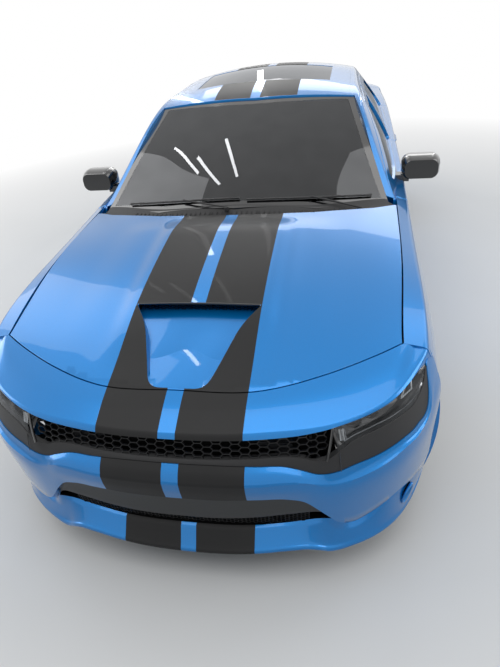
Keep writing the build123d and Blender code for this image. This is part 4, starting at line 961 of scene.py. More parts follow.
# Feature lines from the rim of the nose down to the lip
RIM = Line((4,) * 14 + (0,), (722, 722, 725, 728, 731, 735, 738, 742, 748, 760, 770, 786, 797, 797, 795))
LAMP_FOOT = Line((34, 34, 34, 34, 32, 28, 20, 14, 12, 12, 10, 8, 5, 1, 0),
                 (636, 637, 641, 642, 636, 624, 630, 652, 678, 692, 701, 710, 748, 790, 794))
COVER_TOP = Line((26, 26, 26, 26, 24, 22, 20, 18, 18, 16, 12, 8, 4, 0, 0),
                 (622, 622, 617, 611, 594, 577, 574, 578, 588, 599, 616, 630, 672, 784, 793))
COVER_SHELF = Line((8, 8, 8, 8, 10, 14, 15, 14, 12, 9, 7, 5, 2, 0, 0),
                   (598, 598, 597, 596, 584, 563, 554, 554, 562, 577, 600, 614, 656, 752, 776))
CREST = Line((-4, -4, -4, -3, 0, 6, 8, 6, 2, -2, -2, -2, -1, 0, 0),
             (567, 567, 568, 573, 568, 548, 537, 537, 547, 566, 592, 606, 646, 715, 755))
COVER_SIDE = Line((2, 2, 2, 2, 4, 8, 8, 6, 2, 0, 0, 0, 0, 0, 0),
                  (528, 528, 528, 530, 522, 500, 488, 484, 492, 505, 522, 534, 560, 600, 640))
COVER_LOW = Line((10, 10, 10, 10, 12, 12, 12, 10, 8, 8, 8, 4, 2, 0, 0),
                 (486, 486, 490, 485, 462, 412, 366, 324, 306, 330, 366, 366, 370, 372, 380))
RECESS = Line((42, 42, 42, 42, 42, 42, 42, 40, 38, 40, 34, 20, 8, 2, 0),
              (482, 482, 486, 481, 456, 405, 356, 300, 250, 266, 340, 330, 320, 320, 320))
LIP_TOP = Line((64, 64, 64, 62, 60, 56, 50, 40, 38, 40, 34, 20, 8, 2, 0),
               (262, 262, 268, 280, 290, 298, 300, 300, 250, 266, 340, 330, 320, 320, 320))
LIP_RIDGE = Line((52, 52, 52, 50, 48, 44, 40, 30, 24, 26, 26, 14, 6, 2, 0),
                 (256, 256, 262, 272, 280, 284, 276, 246, 232, 244, 318, 300, 296, 300, 304))
LIP_FACE = Line((8, 8, 8, 8, 8, 8, 8, 6, 4, 4, 4, 2, 0, 0, 0),
                (196, 199, 211, 221, 222, 208, 192, 186, 186, 192, 216, 226, 240, 258, 284))
LIP_EDGE = Line((-10,) * 11 + (-8, -6, -4, -2),
                (166, 170, 184, 195, 196, 180, 160, 155, 156, 160, 176, 186, 205, 228, 262))
SLOT_TOP = Line((38,) * 5 + (40, 42, 42) + (40,) * 7, (344, 346, 358, 368, 372, 366, 348, 312) + (300,) * 7)
# The bonnet's front edge in plan, and where each station of the nose meets it
BONNET_FRONT = np.array([(-776, -2060), (-720, -2098), (-638, -2147), (-520, -2209), (-305, -2289), (0, -2302),
                         (305, -2289), (520, -2209), (638, -2147), (720, -2098), (776, -2060)], float)
BONNET_STATIONS = (0, 150, 298, 385, 432, 470, 500, 528, 568, 635, 700, 738, 760, 768, 776)


def bonnet_edge(x: Array) -> Array:
    """Plan points of the bonnet's front edge at places across the car."""
    return np.column_stack([x, through(BONNET_FRONT[:, 0], BONNET_FRONT[:, 1:], x)[:, 0]])


def stretch(first: float, last: float, step: float) -> Array:
    """Places on the nose's plan curve between two stations."""
    start, stop = SKIN.where(np.array((first, last), float))
    return np.linspace(start, stop, max(3, int(abs(stop - start) / step) + 1))


class Layout:
    """A Geometry Nodes tree that repeats a shape, with a named input for each of its sizes."""

    def __init__(self, name: str, sizes: Dict[str, object], base: bpy.types.Mesh) -> None:
        """Starts the tree.

        Args:
            name: The tree's name.
            sizes: The value of each named input.
            base: The mesh that the tree starts from.
        """
        self.base = base
        self.group = bpy.data.node_groups.new(name, "GeometryNodeTree")
        face = self.group.interface
        face.new_socket("Geometry", in_out="INPUT", socket_type="NodeSocketGeometry")
        self.sizes = {}
        for label, value in sizes.items():
            kind = {int: "NodeSocketInt", float: "NodeSocketFloat"}.get(type(value), "NodeSocketVector")
            self.sizes[face.new_socket(label, in_out="INPUT", socket_type=kind).identifier] = value
        face.new_socket("Geometry", in_out="OUTPUT", socket_type="NodeSocketGeometry")
        self.given = self.node("NodeGroupInput").outputs

    def node(self, kind: str, inputs: Optional[dict] = None, **settings: object) -> bpy.types.Node:
        """Makes a node.

        Args:
            kind: The node's type name.
            inputs: Values, or other nodes' outputs, by input name or index.
            **settings: Properties set on the node first.

        Returns:
            The node.
        """
        made = self.group.nodes.new(kind)
        for key, value in settings.items():
            setattr(made, key, value)
        for key, value in (inputs or {}).items():
            if isinstance(value, bpy.types.NodeSocket):
                self.group.links.new(value, made.inputs[key])
            else:
                made.inputs[key].default_value = value
        return made

    def run(self, placed: bpy.types.Node, look: Look) -> Tuple[Array, List[Tuple[int, ...]]]:
        """Ends the tree in real faces of one finish and evaluates it.

        Args:
            placed: The node that gives the repeated shape.
            look: The faces' finish.

        Returns:
            The points and faces.
        """
        real = self.node("GeometryNodeRealizeInstances", {0: placed.outputs[0]})
        dyed = self.node("GeometryNodeSetMaterial", {0: real.outputs[0], "Material": PALETTE.get(look)})
        self.node("NodeGroupOutput", {0: dyed.outputs[0]})
        holder = linked(self.group.name, self.base)
        modifier = holder.modifiers.new(self.group.name, "NODES")
        modifier.node_group = self.group
        for identifier, value in self.sizes.items():
            modifier[identifier] = value
        graph = bpy.context.evaluated_depsgraph_get()
        made = bpy.data.meshes.new_from_object(holder.evaluated_get(graph))
        points, faces = mesh_points(made), [tuple(face.vertices) for face in made.polygons]
        bpy.data.objects.remove(holder)
        for used in (self.base, made):
            bpy.data.meshes.remove(used)
        bpy.data.node_groups.remove(self.group)
        return points, faces


# Points of a honeycomb nearer than this, in millimetres, are joined
COMB_WELD = 0.001


@dataclass
class HoneyComb:
    """A mesh of six-sided cells, laid out flat with Geometry Nodes and then bent onto a surface."""

    cell: Pair
    bar: float = 3.6
    depth: float = 9.0

    def centres(self, half: float, low: float, high: float, fits: Callable[[float, float], bool]) -> Array:
        """Cell centres within a width and height.

        Args:
            half: Half the width.
            low: Lowest height.
            high: Greatest height.
            fits: Says whether a centre is kept.

        Returns:
            Flat centres, one row each.
        """
        step = 0.75 * self.cell[0]
        found = []
        for column in range(-int(half / step), int(half / step) + 1):
            shift = 0.5 * self.cell[1] * (column % 2)
            for row in range(int((high - low) / self.cell[1]) + 2):
                place = (column * step, low + shift + row * self.cell[1])
                if fits(*place):
                    found.append(place)
        return np.array(found)

    def spread(self, centres: Array) -> Tuple[Array, List[Tuple[int, ...]]]:
        """Puts one cell on each centre.

        Args:
            centres: Flat centres in millimetres.

        Returns:
            Points and faces of all cells in the flat layout.
        """
        mesh = bpy.data.meshes.new("cell_centres")
        mesh.from_pydata([(x, y, 0.0) for x, y in centres], [], [])
        width, height = self.cell
        tree = Layout("honeycomb", {"Cell Scale": (width / 2, height / math.sqrt(3), 1.0), "Bar Radius": self.bar / 2,
                                    "Bar Scale": (1.0, 1.0, self.depth / self.bar)}, mesh)
        hexagon = tree.node("GeometryNodeCurvePrimitiveCircle", {"Resolution": 6, "Radius": 1.0})
        cell = tree.node("GeometryNodeTransform", {0: hexagon.outputs[0], "Scale": tree.given["Cell Scale"]})
        bar = tree.node("GeometryNodeCurvePrimitiveCircle", {"Resolution": 6, "Radius": tree.given["Bar Radius"]})
        swept = tree.node("GeometryNodeCurveToMesh", {0: cell.outputs[0], 1: bar.outputs[0]})
        deep = tree.node("GeometryNodeTransform", {0: swept.outputs[0], "Scale": tree.given["Bar Scale"]})
        placed = tree.node("GeometryNodeInstanceOnPoints", {0: tree.given["Geometry"], "Instance": deep.outputs[0]})
        return tree.run(placed, Look.MESH)


@dataclass
class Nose:
    """The nose: painted band, bumper cover and lip, black band, grille and intake."""

    column: float = 9.0
    # How deep inside the skin the painted-shade sheet behind the grille lies.
    shade_sheet_depth: float = 105.0
    grille_sunk: float = 40.0
    end: float = 928.0
    slot_centre: Pair = (838.0, 272.0)
    slot_half: Pair = (15.0, 44.0)
    slot_lean: float = 0.16

    def build(self) -> None:
        """Builds every piece of the nose."""
        self.band()
        self.cover()
        self.lip()
        self.black_band()
        self.intake()
        self.grille()

    def band(self) -> None:
        """The painted band between the bonnet and the grille, with its rolled rim."""
        t = stretch(-self.end, self.end, self.column)
        shoulder = SKIN.read(t, SKIN.table[:, 6])
        met, knots = (np.concatenate([-np.array(row[:0:-1], float), row]) for row in (BONNET_STATIONS, STATIONS))
        edge = raised(bonnet_edge(through(SKIN.where(knots), met, t)[:, 0]), bonnet_base)
        rim = RIM.at(t)
        share = smoothstep(np.abs(SKIN.across(t)), self.end, 860)
        crest = SKIN.point(t, 4.5 * share, shoulder - 7)
        roll = SKIN.point(t, 3.5 * share + 1, shoulder + 1.5)
        brow = SKIN.point(t, 1.0, shoulder + 8)
        middle = 0.5 * (brow + edge) + np.array((0, 0, 3.5))
        mesh = Mesher("nose_band", [Look.STRIPED, Look.SHADE_BLACK])
        inner = rim.copy()
        inner[:, 2] += 3
        inner[:, 1] += 14
        mesh.grid(rows_between([edge, middle, brow, roll, crest, rim], (6, 6, 3, 3, 3)))
        mesh.grid([rim, 0.5 * (rim + inner) - np.array((0, 0, 2.5)), inner])
        down = edge + np.array((0, 2.0, -16.0))
        mesh.grid([down, edge - np.array((0, 0, 3.0)), edge])
        mesh.build(Body.CHASSIS, replaces=("front_fascia",))

    def in_slot(self, x: float, z: float, scale: float = 1.0) -> bool:
        """Whether a place on the nose is within the corner's upright slot.

        Args:
            x: The place across the car.
            z: Its height.
            scale: The square of the slot's share that counts.

        Returns:
            True inside.
        """
        rise = z - self.slot_centre[1]
        aside = abs(x) - self.slot_centre[0] - rise * self.slot_lean
        return (aside / self.slot_half[0]) ** 2 + (rise / self.slot_half[1]) ** 2 < scale

    def cover(self) -> None:
        """The painted bumper cover with its crest and the corner's hollow."""
        t = stretch(-self.end, self.end, self.column)
        x = SKIN.across(t)
        lines = [line.at(t) for line in (COVER_TOP, COVER_SHELF, CREST, COVER_SIDE, COVER_LOW)]
        mesh = Mesher("bumper_cover", [Look.STRIPED])
        mesh.grid(rows_between(lines[:3], (4, 4)))
        mesh.grid(rows_between(lines[2:], (5, 5)))
        low = rows_between([lines[-1], RECESS.at(t)], (8,))
        mesh.grid(low, keep=lambda r, c: not self.in_slot(x[c], low[r, c, 2], 0.9))
        mesh.grid([COVER_TOP.at(t, -2, 16), lines[0]])
        mesh.build(Body.CHASSIS, sharp=34)

    def lip(self) -> None:
        """The splitter lip with its ridge, wavy edge and the slot in each corner, whose pocket is painted shade."""
        t = stretch(-self.end, self.end, self.column)
        x = SKIN.across(t)
        mesh = Mesher("front_lip", [Look.STRIPED, Look.MATTE, Look.SHADE_BLACK])
        ridge, above, under = LIP_RIDGE.at(t), LIP_EDGE.at(t, 16, 6), LIP_EDGE.at(t, -2, 6)
        face = rows_between([ridge, LIP_FACE.at(t), above], (7, 4))
        mesh.grid(rows_between([LIP_TOP.at(t), ridge], (4,)))
        mesh.grid(face, keep=lambda r, c: not self.in_slot(x[c], face[r, c, 2], 0.9))
        mesh.grid([above, LIP_EDGE.at(t, 9, 1), LIP_EDGE.at(t), under])
        mesh.grid([under, LIP_EDGE.at(t, 2, 60), LIP_EDGE.at(t, 14, 120)], look=1)
        turns = around(40)
        rise = self.slot_half[1] * np.sin(turns)
        z = self.slot_centre[1] + rise
        for side in (-1, 1):
            aside = self.slot_centre[0] + rise * self.slot_lean + self.slot_half[0] * np.cos(turns)
            place = SKIN.where(side * aside)
            # Each slot's pocket is a sheet of painted-shade black.
            ring = [SKIN.point(place, sunk, z) for sunk in (8, 40, 44)]
            ring.append(np.repeat(ring[2].mean(0)[None], len(turns), 0))
            mesh.grid(ring, look=2, ring=True, flip=side < 0)
            mesh.tube(SKIN.point(place, 6, z), 5.5, sides=8, closed=True)
        mesh.build(Body.CHASSIS, sharp=34, replaces=("splitter",))

    def black_band(self) -> None:
        """The matte band under the grille and lamps, with a seam at each end of the grille."""
        t = stretch(-903, 903, self.column)
        mesh = Mesher("grille_surround", [Look.MATTE, Look.GLOSS])
        foot, top = LAMP_FOOT.at(t), COVER_TOP.at(t, 0, 3)
        mesh.grid(rows_between([LAMP_FOOT.at(t, 3, 16), foot], (2,)))
        mesh.grid(rows_between([foot, 0.5 * (foot + top) + np.array((0, -1.0, 0)), top], (2, 2)))
        for side in (-1, 1):
            low, high = SKIN.where(np.array((side * 533.0, side * 566.0)))
            rise = np.linspace(0, 1, 9)
            place = low + (high - low) * rise
            z = 634 + (742 - 634) * rise
            mesh.tube(SKIN.point(place, 12.0, z), 5.0, look=1, sides=8)
            seam = SKIN.where(np.array((side * 578.0,)))[0]
            mesh.tube(SKIN.point(np.full(5, seam), 13.5, np.linspace(582, 652, 5)), 1.2, look=1, sides=6)
        mesh.build(Body.CHASSIS)

    def intake(self) -> None:
        """The lower intake: its sloping frame, the slot with a back of painted shade, and its fine mesh."""
        t = stretch(-572, 572, self.column)
        mesh = Mesher("intake_frame", [Look.GREY, Look.SHADE_BLACK])
        head, foot = RECESS.at(t, 2, -8), SLOT_TOP.at(t)
        mesh.grid(rows_between([head, 0.5 * (head + foot) + np.array((0, 4.0, 0)), foot], (3, 3)))
        mesh.grid(rows_between([foot, SLOT_TOP.at(t, -3, 6), SLOT_TOP.at(t, -4, 50)], (2, 2)))
        # The slot's back is a sheet of painted-shade black.
        mesh.grid([SLOT_TOP.at(t, -4, 50), LIP_TOP.at(t, 0, 50), LIP_TOP.at(t)], look=1)
        mesh.build(Body.CHASSIS)
        comb = HoneyComb((20.0, 12.0), 2.0, 5.0)
        centres = comb.centres(470, 296, 352, lambda x, y: y < float(np.interp(abs(x), (0, 300, 470), (340, 352, 360))))
        self.bend("intake_mesh", *comb.spread(centres), 60.0)

    def bend(self, name: str, points: Array, faces: List[Tuple[int, ...]], sunk: float,
             replaces: Iterable[str] = ()) -> None:
        """Lays a flat honeycomb onto the nose.

        Args:
            name: The piece's name.
            points: Points of the flat layout.
            faces: Its faces.
            sunk: How deep it lies inside the skin.
            replaces: CAD nodes it stands for.
        """
        mesh = Mesher(name, [Look.MESH])
        t = SKIN.where(np.zeros(1))[0] + points[:, 0]
        mesh.add_faces(SKIN.point(t, sunk + points[:, 2], points[:, 1]), faces)
        mesh.build(Body.CHASSIS, weld=COMB_WELD, replaces=replaces)

    def grille(self) -> None:
        """The wide honeycomb grille over a sheet of painted shade."""
        comb = HoneyComb((44.0, 23.0))
        centres = comb.centres(560, 622, 730, lambda x, y: abs(x) < 522 + 0.32 * (y - 634))
        points, faces = comb.spread(centres)
        points[:, 1] = np.clip(points[:, 1], 630, 732)
        self.bend("grille_honeycomb", points, faces, self.grille_sunk, ("grilles",))
        t = stretch(-600, 600, 24)
        # Painted shade: a near-black sheet behind the grille and intake, where there is only shade.
        mesh = Mesher("nose_shade_sheet", [Look.SHADE_BLACK])
        mesh.grid([SKIN.point(t, self.shade_sheet_depth, height) for height in (760, 700, 640, 560, 480)])
        mesh.build(Body.CHASSIS)


@dataclass
class Headlamp:
    """One headlamp: its clear lens over a dark bowl with projectors, a light strip and a marker."""

    side: int
    inner: float = 572.0
    outer: float = 903.0

    def build(self) -> None:
        """Builds the lens and what is behind it."""
        hand = "left" if self.side > 0 else "right"
        t = stretch(self.inner, self.outer, 8) if self.side > 0 else stretch(-self.outer, -self.inner, 8)
        top, foot = RIM.at(t, 4, 6), LAMP_FOOT.at(t, -2, 3)
        lens = Mesher(f"lamp_lens_{hand}", [Look.LENS])
        lens.grid(rows_between([top, 0.5 * (top + foot) + self.forward(t, 3.0), foot], (4, 4)))
        lens.build(Body.CHASSIS, replaces=("headlamps",) if self.side > 0 else ())
        bowl = Mesher(f"lamp_bowl_{hand}", [Look.REFLECTOR, Look.CHROME, Look.WHITE, Look.GLOSS])
        deep = self.forward(t, -46.0)
        narrow = smoothstep(np.abs(SKIN.across(t)), self.outer, self.outer - 90)[:, None]
        deep = deep * (0.15 + 0.85 * narrow)
        rows = [(1.0, 0.0), (1.0, 0.5), (0.6, 1.0), (0.3, 0.95), (0.0, 0.4), (0.0, 0.0)]
        rows = [share * top + (1 - share) * foot + deep * sunk for share, sunk in rows]
        bowl.grid(rows_between(rows, (2,) * 5), look=3)
        strip = 0.86 * foot + 0.14 * top + deep * 0.22
        bowl.tube(strip[4:-6], 4.2, look=1, sides=8)
        brow = 0.12 * foot + 0.88 * top + deep * 0.35
        bowl.tube(brow[6:-8], 2.6, look=1, sides=6)
        for station, radius in ((648, 24.0), (716, 22.0)):
            self.projector(bowl, station, radius)
        self.frame_of_light(bowl)
        place = SKIN.where(np.array((self.side * 590.0,)))[0]
        for k in range(4):
            z = np.linspace(684, 720, 5)
            bowl.tube(SKIN.point(np.full(5, place + self.side * k * 7.0), 24, z), 2.6, look=1 if k % 2 else 2, sides=6)
        bowl.build(Body.CHASSIS)

    def forward(self, t: Array, reach: float) -> Array:
        """Steps outwards from the nose, at places on its plan curve."""
        normal = np.stack([SKIN.read(t, SKIN.normal[:, 0]), SKIN.read(t, SKIN.normal[:, 1])], axis=1)
        return np.column_stack([normal * reach, np.full(len(t), -0.12 * reach)])

    def projector(self, bowl: Mesher, station: float, radius: float) -> None:
        """One round projector with a metal ring and a glass front, facing ahead.

        Args:
            bowl: The bowl that it is added to.
            station: Its place across the car.
            radius: The glass's radius.
        """
        place = SKIN.where(np.array((self.side * station,)))
        centre = SKIN.point(place, 44, 726 + (station - 648) * 0.16)[0]
        turns = around(28)
        disc = np.column_stack([np.cos(turns), np.zeros(len(turns)), np.sin(turns)]) * radius
        # each row's share of the radius, how far back it is, and the finish of the faces after it
        profile = ((1.16, 10, 3), (1.2, -6, 1), (1.08, -12, 1), (1.0, -8, 1), (0.96, -2, 3), (0.9, -8, 3),
                   (0.7, -14, 3), (0.4, -18, 3), (0.02, -19, 3))
        rows = [centre + disc * share + (0, back, 0) for share, back, _ in profile]
        for pair, (_, _, look) in zip(zip(rows, rows[1:]), profile):
            bowl.grid(pair, look=look, ring=True)

    def frame_of_light(self, bowl: Mesher) -> None:
        """The white outline near the lamp's outer end.

        Args:
            bowl: The bowl that it is added to.
        """
        corners = ((812, 752, 14), (852, 757, 14), (856, 782, 12), (838, 779, 14))
        places = SKIN.where(np.array([self.side * c[0] for c in corners], float))
        loop = np.array([SKIN.point(np.array([p]), c[2], c[1])[0] for p, c in zip(places, corners)])
        bowl.tube(divided(loop, 6.0), 2.8, look=2, sides=6, closed=True)


@dataclass
class Bonnet:
    """The bonnet: a skin with a power dome, the sunken ramp and the scoop's mouth, and its inner panel."""

    gap: float = 6.0
    rise: float = 17.0
    dome: float = 9.0
    mouth_y: float = -1915.0
    mouth_half: float = 250.0
    duct_end: float = -1856.0
    ramp: Tuple[Triple, ...] = ((-2292, 104, 3), (-2020, 190, 34), (-1915, 250, 38))

    def height(self, x: Array, y: Array) -> Array:
        """The skin's height with its dome.

        Args:
            x: Places across the car.
            y: Places along it.

        Returns:
            One height for each place.
        """
        x, y = np.asarray(x, float), np.asarray(y, float)
        lift = smoothstep(y, -2250, -1920) * smoothstep(y, -1185, -1420)
        wide = smoothstep(y, -2230, -1750) * smoothstep(y, -1175, -1350)
        flank = 1 - smoothstep(np.abs(x), 262, 346)
        shoulder = 1 - smoothstep(np.abs(x), 400, 580)
        return bonnet_base(x, y) + self.rise * lift * flank + self.dome * wide * shoulder

    def depth(self, y: Array) -> Array:
        """How far the ramp's floor is under the plain surface."""
        return np.interp(y, [row[0] for row in self.ramp], [row[2] for row in self.ramp])

    def floor(self, x: Array, y: Array) -> Array:
        """The ramp's height."""
        return bonnet_base(x, y) - self.depth(y)

    def outline(self) -> Array:
        """The skin's edge in plan, counter-clockwise."""
        front = bonnet_edge(np.linspace(-776, 776, 120))
        right = np.array([(778, -2000), (785, -1880), (793, -1760), (802, -1600), (808, -1420), (816, -1012)], float)
        rear = np.array([(802, -1002), (700, -1058), (560, -1100), (400, -1140), (200, -1163), (0, -1170)], float)
        left = np.vstack([right, rear[:-1]])[::-1] * np.array((-1, 1))
        loop = divided(np.vstack([front, right, rear, left]), 22)
        return loop - outward(loop) * self.gap

    def hole(self) -> Array:
        """The ramp's edge in plan, counter-clockwise."""
        (y0, h0, _), (y1, h1, _), (y2, h2, _) = self.ramp
        corners = [(-h0, y0, 46), (h0, y0, 46), (h1, y1, 120), (h2 + 8, y2, 16), (0, y2 + 7, 240), (-h2 - 8, y2, 16),
                   (-h1, y1, 120)]
        return divided(rounded(corners, 8), 9)

    def build(self) -> None:
        """Builds the skin, ramp, mouth, mesh and inner panel."""
        outline, hole = self.outline(), self.hole()
        skin = Mesher("bonnet_skin", [Look.STRIPED, Look.PAINT, Look.SHADE_BLACK, Look.GLOSS])
        stripes = [np.column_stack([np.full(60, x), np.linspace(-2285, -1180, 60)]) for x in (-400, 400)]
        skin.sheet(outline, 26, self.height, holes=[hole], lines=stripes)
        skin.grid(hemmed(outline, self.height, ((0, 0), (0.8, -0.8), (1.0, -2.5), (0.5, -16), (-8, -19))), ring=True)
        back = hole[:, 1] > self.mouth_y - 3
        top = self.height(hole[:, 0], hole[:, 1])
        out = outward(hole)
        reach = np.where(back, 0.0, -8.0)[:, None]
        foot = hole + out * reach
        rows = [np.column_stack([hole, top]), np.column_stack([hole - out * 1.2, top - 1.2]),
                np.column_stack([hole - out * 1.8, top - 3.0])]
        walls = rows + [np.column_stack([foot, self.floor(foot[:, 0], foot[:, 1])])]
        width = len(hole)
        skin.grid(walls, look=1, ring=True, flip=True,
                  keep=lambda r, c: not (back[c] and back[(c + 1) % width]))
        roof = rows + [np.column_stack([hole - out * 1.2, top - 8.0]), np.column_stack([hole + out * 26, top - 11.0])]
        skin.grid(roof, look=3, ring=True, flip=True, keep=lambda r, c: back[c] and back[(c + 1) % width])
        skin.sheet(foot, 24, self.floor, look=1)
        self.cavity(skin)
        skin.build(Body.BONNET, sharp=30, replaces=("hood",))
        self.scoop_mesh()
        self.inner(outline)

    def cavity(self, mesh: Mesher) -> None:
        """The duct behind the scoop's mouth, lined with painted-shade black.

        Args:
            mesh: The skin that it is added to.
        """
        x = np.linspace(-self.mouth_half - 6, self.mouth_half + 6, 30)
        front = np.column_stack([x, np.full(30, self.mouth_y - 4)])
        back = np.column_stack([x, np.full(30, self.duct_end)])
        low, rear, high = raised(front, self.floor, 0.3), raised(back, self.floor, -1), raised(back, self.height, -12)
        lip = raised(np.column_stack([x, np.full(30, self.mouth_y)]), self.height, -12) + (0, 10, 0)
        mesh.grid([low, rear, high, lip], look=2, flip=True)
        for end, flip in ((0, True), (-1, False)):
            mesh.grid([[low[end], rear[end]], [lip[end], high[end]]], look=2, flip=flip)

    def scoop_mesh(self) -> None:
        """The honeycomb in the scoop's mouth."""
        comb = HoneyComb((19.0, 12.0), 2.0, 4.0)
        centres = comb.centres(self.mouth_half - 10, 8, 60, lambda x, y: y < 46)
        points, faces = comb.spread(centres)
        mesh = Mesher("scoop_honeycomb", [Look.MESH])
        x, rise, deep = points.T
        y = np.full(len(points), self.mouth_y + 22)
        low, high = self.floor(x, y), self.height(x, y) - 12
        mesh.add_faces(np.column_stack([x, y + deep, low + (high - low) * (rise + 2) / 60]), faces)
        mesh.build(Body.BONNET, weld=COMB_WELD, replaces=("scoop_mesh",))

    def inner(self, outline: Array) -> None:
        """The pressed panel under the skin.

        Args:
            outline: The skin's edge in plan.
        """
        loop = outline - outward(outline) * 14

        def under(x: Array, y: Array) -> Array:
            """Height of the panel, pressed in between its ribs and lower under the ramp."""
            press = 5 * np.sin(np.asarray(x) / 92.0) ** 2 * np.sin((np.asarray(y) + 2300) / 130.0) ** 2
            ramp = smoothstep(-np.abs(x), -330, -250) * smoothstep(y, -2240, -1960) * smoothstep(y, -1700, -1850)
            return self.height(x, y) - 21 + press - 26 * ramp

        panel = Mesher("bonnet_inner", [Look.PAINT])
        panel.sheet(loop, 34, under, flip=True)
        edge = np.column_stack([outline - outward(outline) * 8, self.height(*outline.T) - 19])
        panel.grid([edge, raised(loop, under)], ring=True)
        panel.build(Body.BONNET, sharp=50)


# The windshield: y, the rail's x and z, and the crown's z
SCREEN = np.array([(-1130, 864, 850, 1016), (-936, 814, 962, 1110), (-634, 717, 1158, 1242), (-208, 626, 1370, 1412)],
                  float)


@dataclass
class Cowl:
    """The black panel under the windshield with its louvres, and the two wipers."""

    drop: float = 13.0
    louvres: int = 46
    louvre_reach: float = 560.0

    def glass(self, x: Array, y: Array) -> Array:
        """The windshield's heights at places across and along the car."""
        rail_x, rail_z, crown = through(SCREEN[:, 0], SCREEN[:, 1:], np.ravel(y)).T
        return (crown - (crown - rail_z) * (np.ravel(x) / rail_x) ** 2).reshape(np.shape(x))

    def build(self) -> None:
        """Builds the cowl panel and the wipers."""
        x = np.linspace(-790, 790, 121)
        front_y = through((-806, -700, -400, 0, 400, 700, 806),
                          (-1006, -1056, -1138, -1166, -1138, -1056, -1006), x)[:, 0]
        rear_y = through((-776, -420, 0, 420, 776), (-944, -1078, -1106, -1078, -944), np.clip(x, -776, 776))[:, 0] + 8
        front = np.column_stack([x, front_y, bonnet_base(x, front_y) - self.drop])
        glass_x = x * 770 / 790
        rear = np.column_stack([glass_x, rear_y, self.glass(glass_x, rear_y) - 2])
        mesh = Mesher("cowl_panel", [Look.MATTE])
        valley = 0.55 * front + 0.45 * rear - np.array((0, 0, 10.0))
        lead = front + np.array((0, -16.0, -6.0))
        mesh.grid(rows_between([rear, valley, front, lead], (4, 4, 2)))
        for k in range(self.louvres):
            spot = -self.louvre_reach + 2 * self.louvre_reach * k / (self.louvres - 1)
            i = int(np.argmin(np.abs(x - spot)))
            a, b = 0.25 * rear[i] + 0.75 * valley[i], 0.2 * front[i] + 0.8 * valley[i]
            mesh.tube(np.linspace(a + (0, 0, 1.5), b + (0, 0, 1.5), 4), 2.2, sides=6)
        mesh.build(Body.CHASSIS)
        self.pane()
        self.wiper("wiper_left", 640.0, 60.0, 690.0)
        self.wiper("wiper_right", -40.0, -620.0, 20.0)

    def pane(self) -> None:
        """The windshield, smooth from edge to edge, with a black band round it."""
        half = [(776, -952), (690, -640), (594, -228), (300, -255), (0, -264)]
        lower = [(420, -1088), (0, -1118)]
        right = lower[::-1] + half[:-1]
        left = [(-x, y) for x, y in half[::-1] + lower[:1]]
        loop = divided(np.array(right + left, float), 26.0)
        if area(loop) < 0:
            loop = loop[::-1]
        centre = np.array((0.0, -640.0))
        band = (centre - loop) / np.linalg.norm(centre - loop, axis=1, keepdims=True) * 42.0
        inner = divided(loop + band, 40.0)
        mesh = Mesher("windshield_pane", [Look.GLASS])
        mesh.sheet(loop, 26.0, lambda x, y: self.glass(x, y) - 4.0)
        mesh.sheet(loop, 26.0, lambda x, y: self.glass(x, y) - 9.0, flip=True)
        mesh.grid([raised(loop, self.glass, lift) for lift in (-9.0, -4.0)], ring=True, flip=True)
        mesh.build(Body.CHASSIS, replaces=("windshield",))
        mesh = Mesher("windshield_band", [Look.GLOSS])
        mesh.sheet(loop, 26.0, lambda x, y: self.glass(x, y) - 3.4, holes=(inner,))
        mesh.build(Body.CHASSIS)

    def wiper(self, name: str, pivot: float, inner: float, outer: float) -> None:
        """One parked wiper: its arm from the pivot and its blade along the glass.

        Args:
            name: The piece's name.
            pivot: The pivot's place across the car.
            inner: Where the blade starts.
            outer: Where the blade ends.
        """
        mesh = Mesher(name, [Look.MATTE])
        x = np.linspace(inner, outer, 24)
        y = -1112 + 158 * (np.abs(x) / 776) ** 2.2 + 34 + 10 * (x - inner) / (outer - inner)
        z = self.glass(x, y) + 9
        blade = np.column_stack([x, y, z])
        mesh.tube(blade, 4.0, sides=6)
        mesh.tube(blade + np.array((0, 4.0, -4.5)), 2.2, sides=6)
        foot_y = float(np.interp(abs(pivot), (0, 400, 700), (-1128, -1108, -1030)))
        foot = np.array((pivot, foot_y, float(self.glass(np.array(pivot), np.array(foot_y))) - 2))
        mid = blade[len(blade) // 2] + np.array((0, -2.0, 5.0))
        arm = np.array([foot + (0, 0, 4), foot + (0, 2, 12), 0.75 * foot + 0.25 * mid + (0, -5, 12),
                        0.3 * foot + 0.7 * mid + (0, -4, 6), mid])
        mesh.tube(through(range(5), arm, np.linspace(0, 4, 24)), 5.0, sides=8)
        mesh.tube([foot + (0, 0, -6), foot + (0, 0, 14)], 12.0, sides=16)
        mesh.build(Body.CHASSIS)


class Touch:
    """Finds points on a CAD node's surface, so that trim sits on it."""

    def __init__(self, name: str) -> None:
        """Reads a node's faces.

        Args:
            name: The node's name.
        """
        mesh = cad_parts[name].data
        points = [Vector(p) for p in mesh_points(mesh) / MM]
        self.tree = BVHTree.FromPolygons(points, [tuple(face.vertices) for face in mesh.polygons])

    def at(self, start: Sequence[float], way: Sequence[float]) -> Optional[Array]:
        """The first point met from a start in a direction."""
        place = self.tree.ray_cast(Vector(start), Vector(way).normalized())[0]
        return None if place is None else np.array(place)


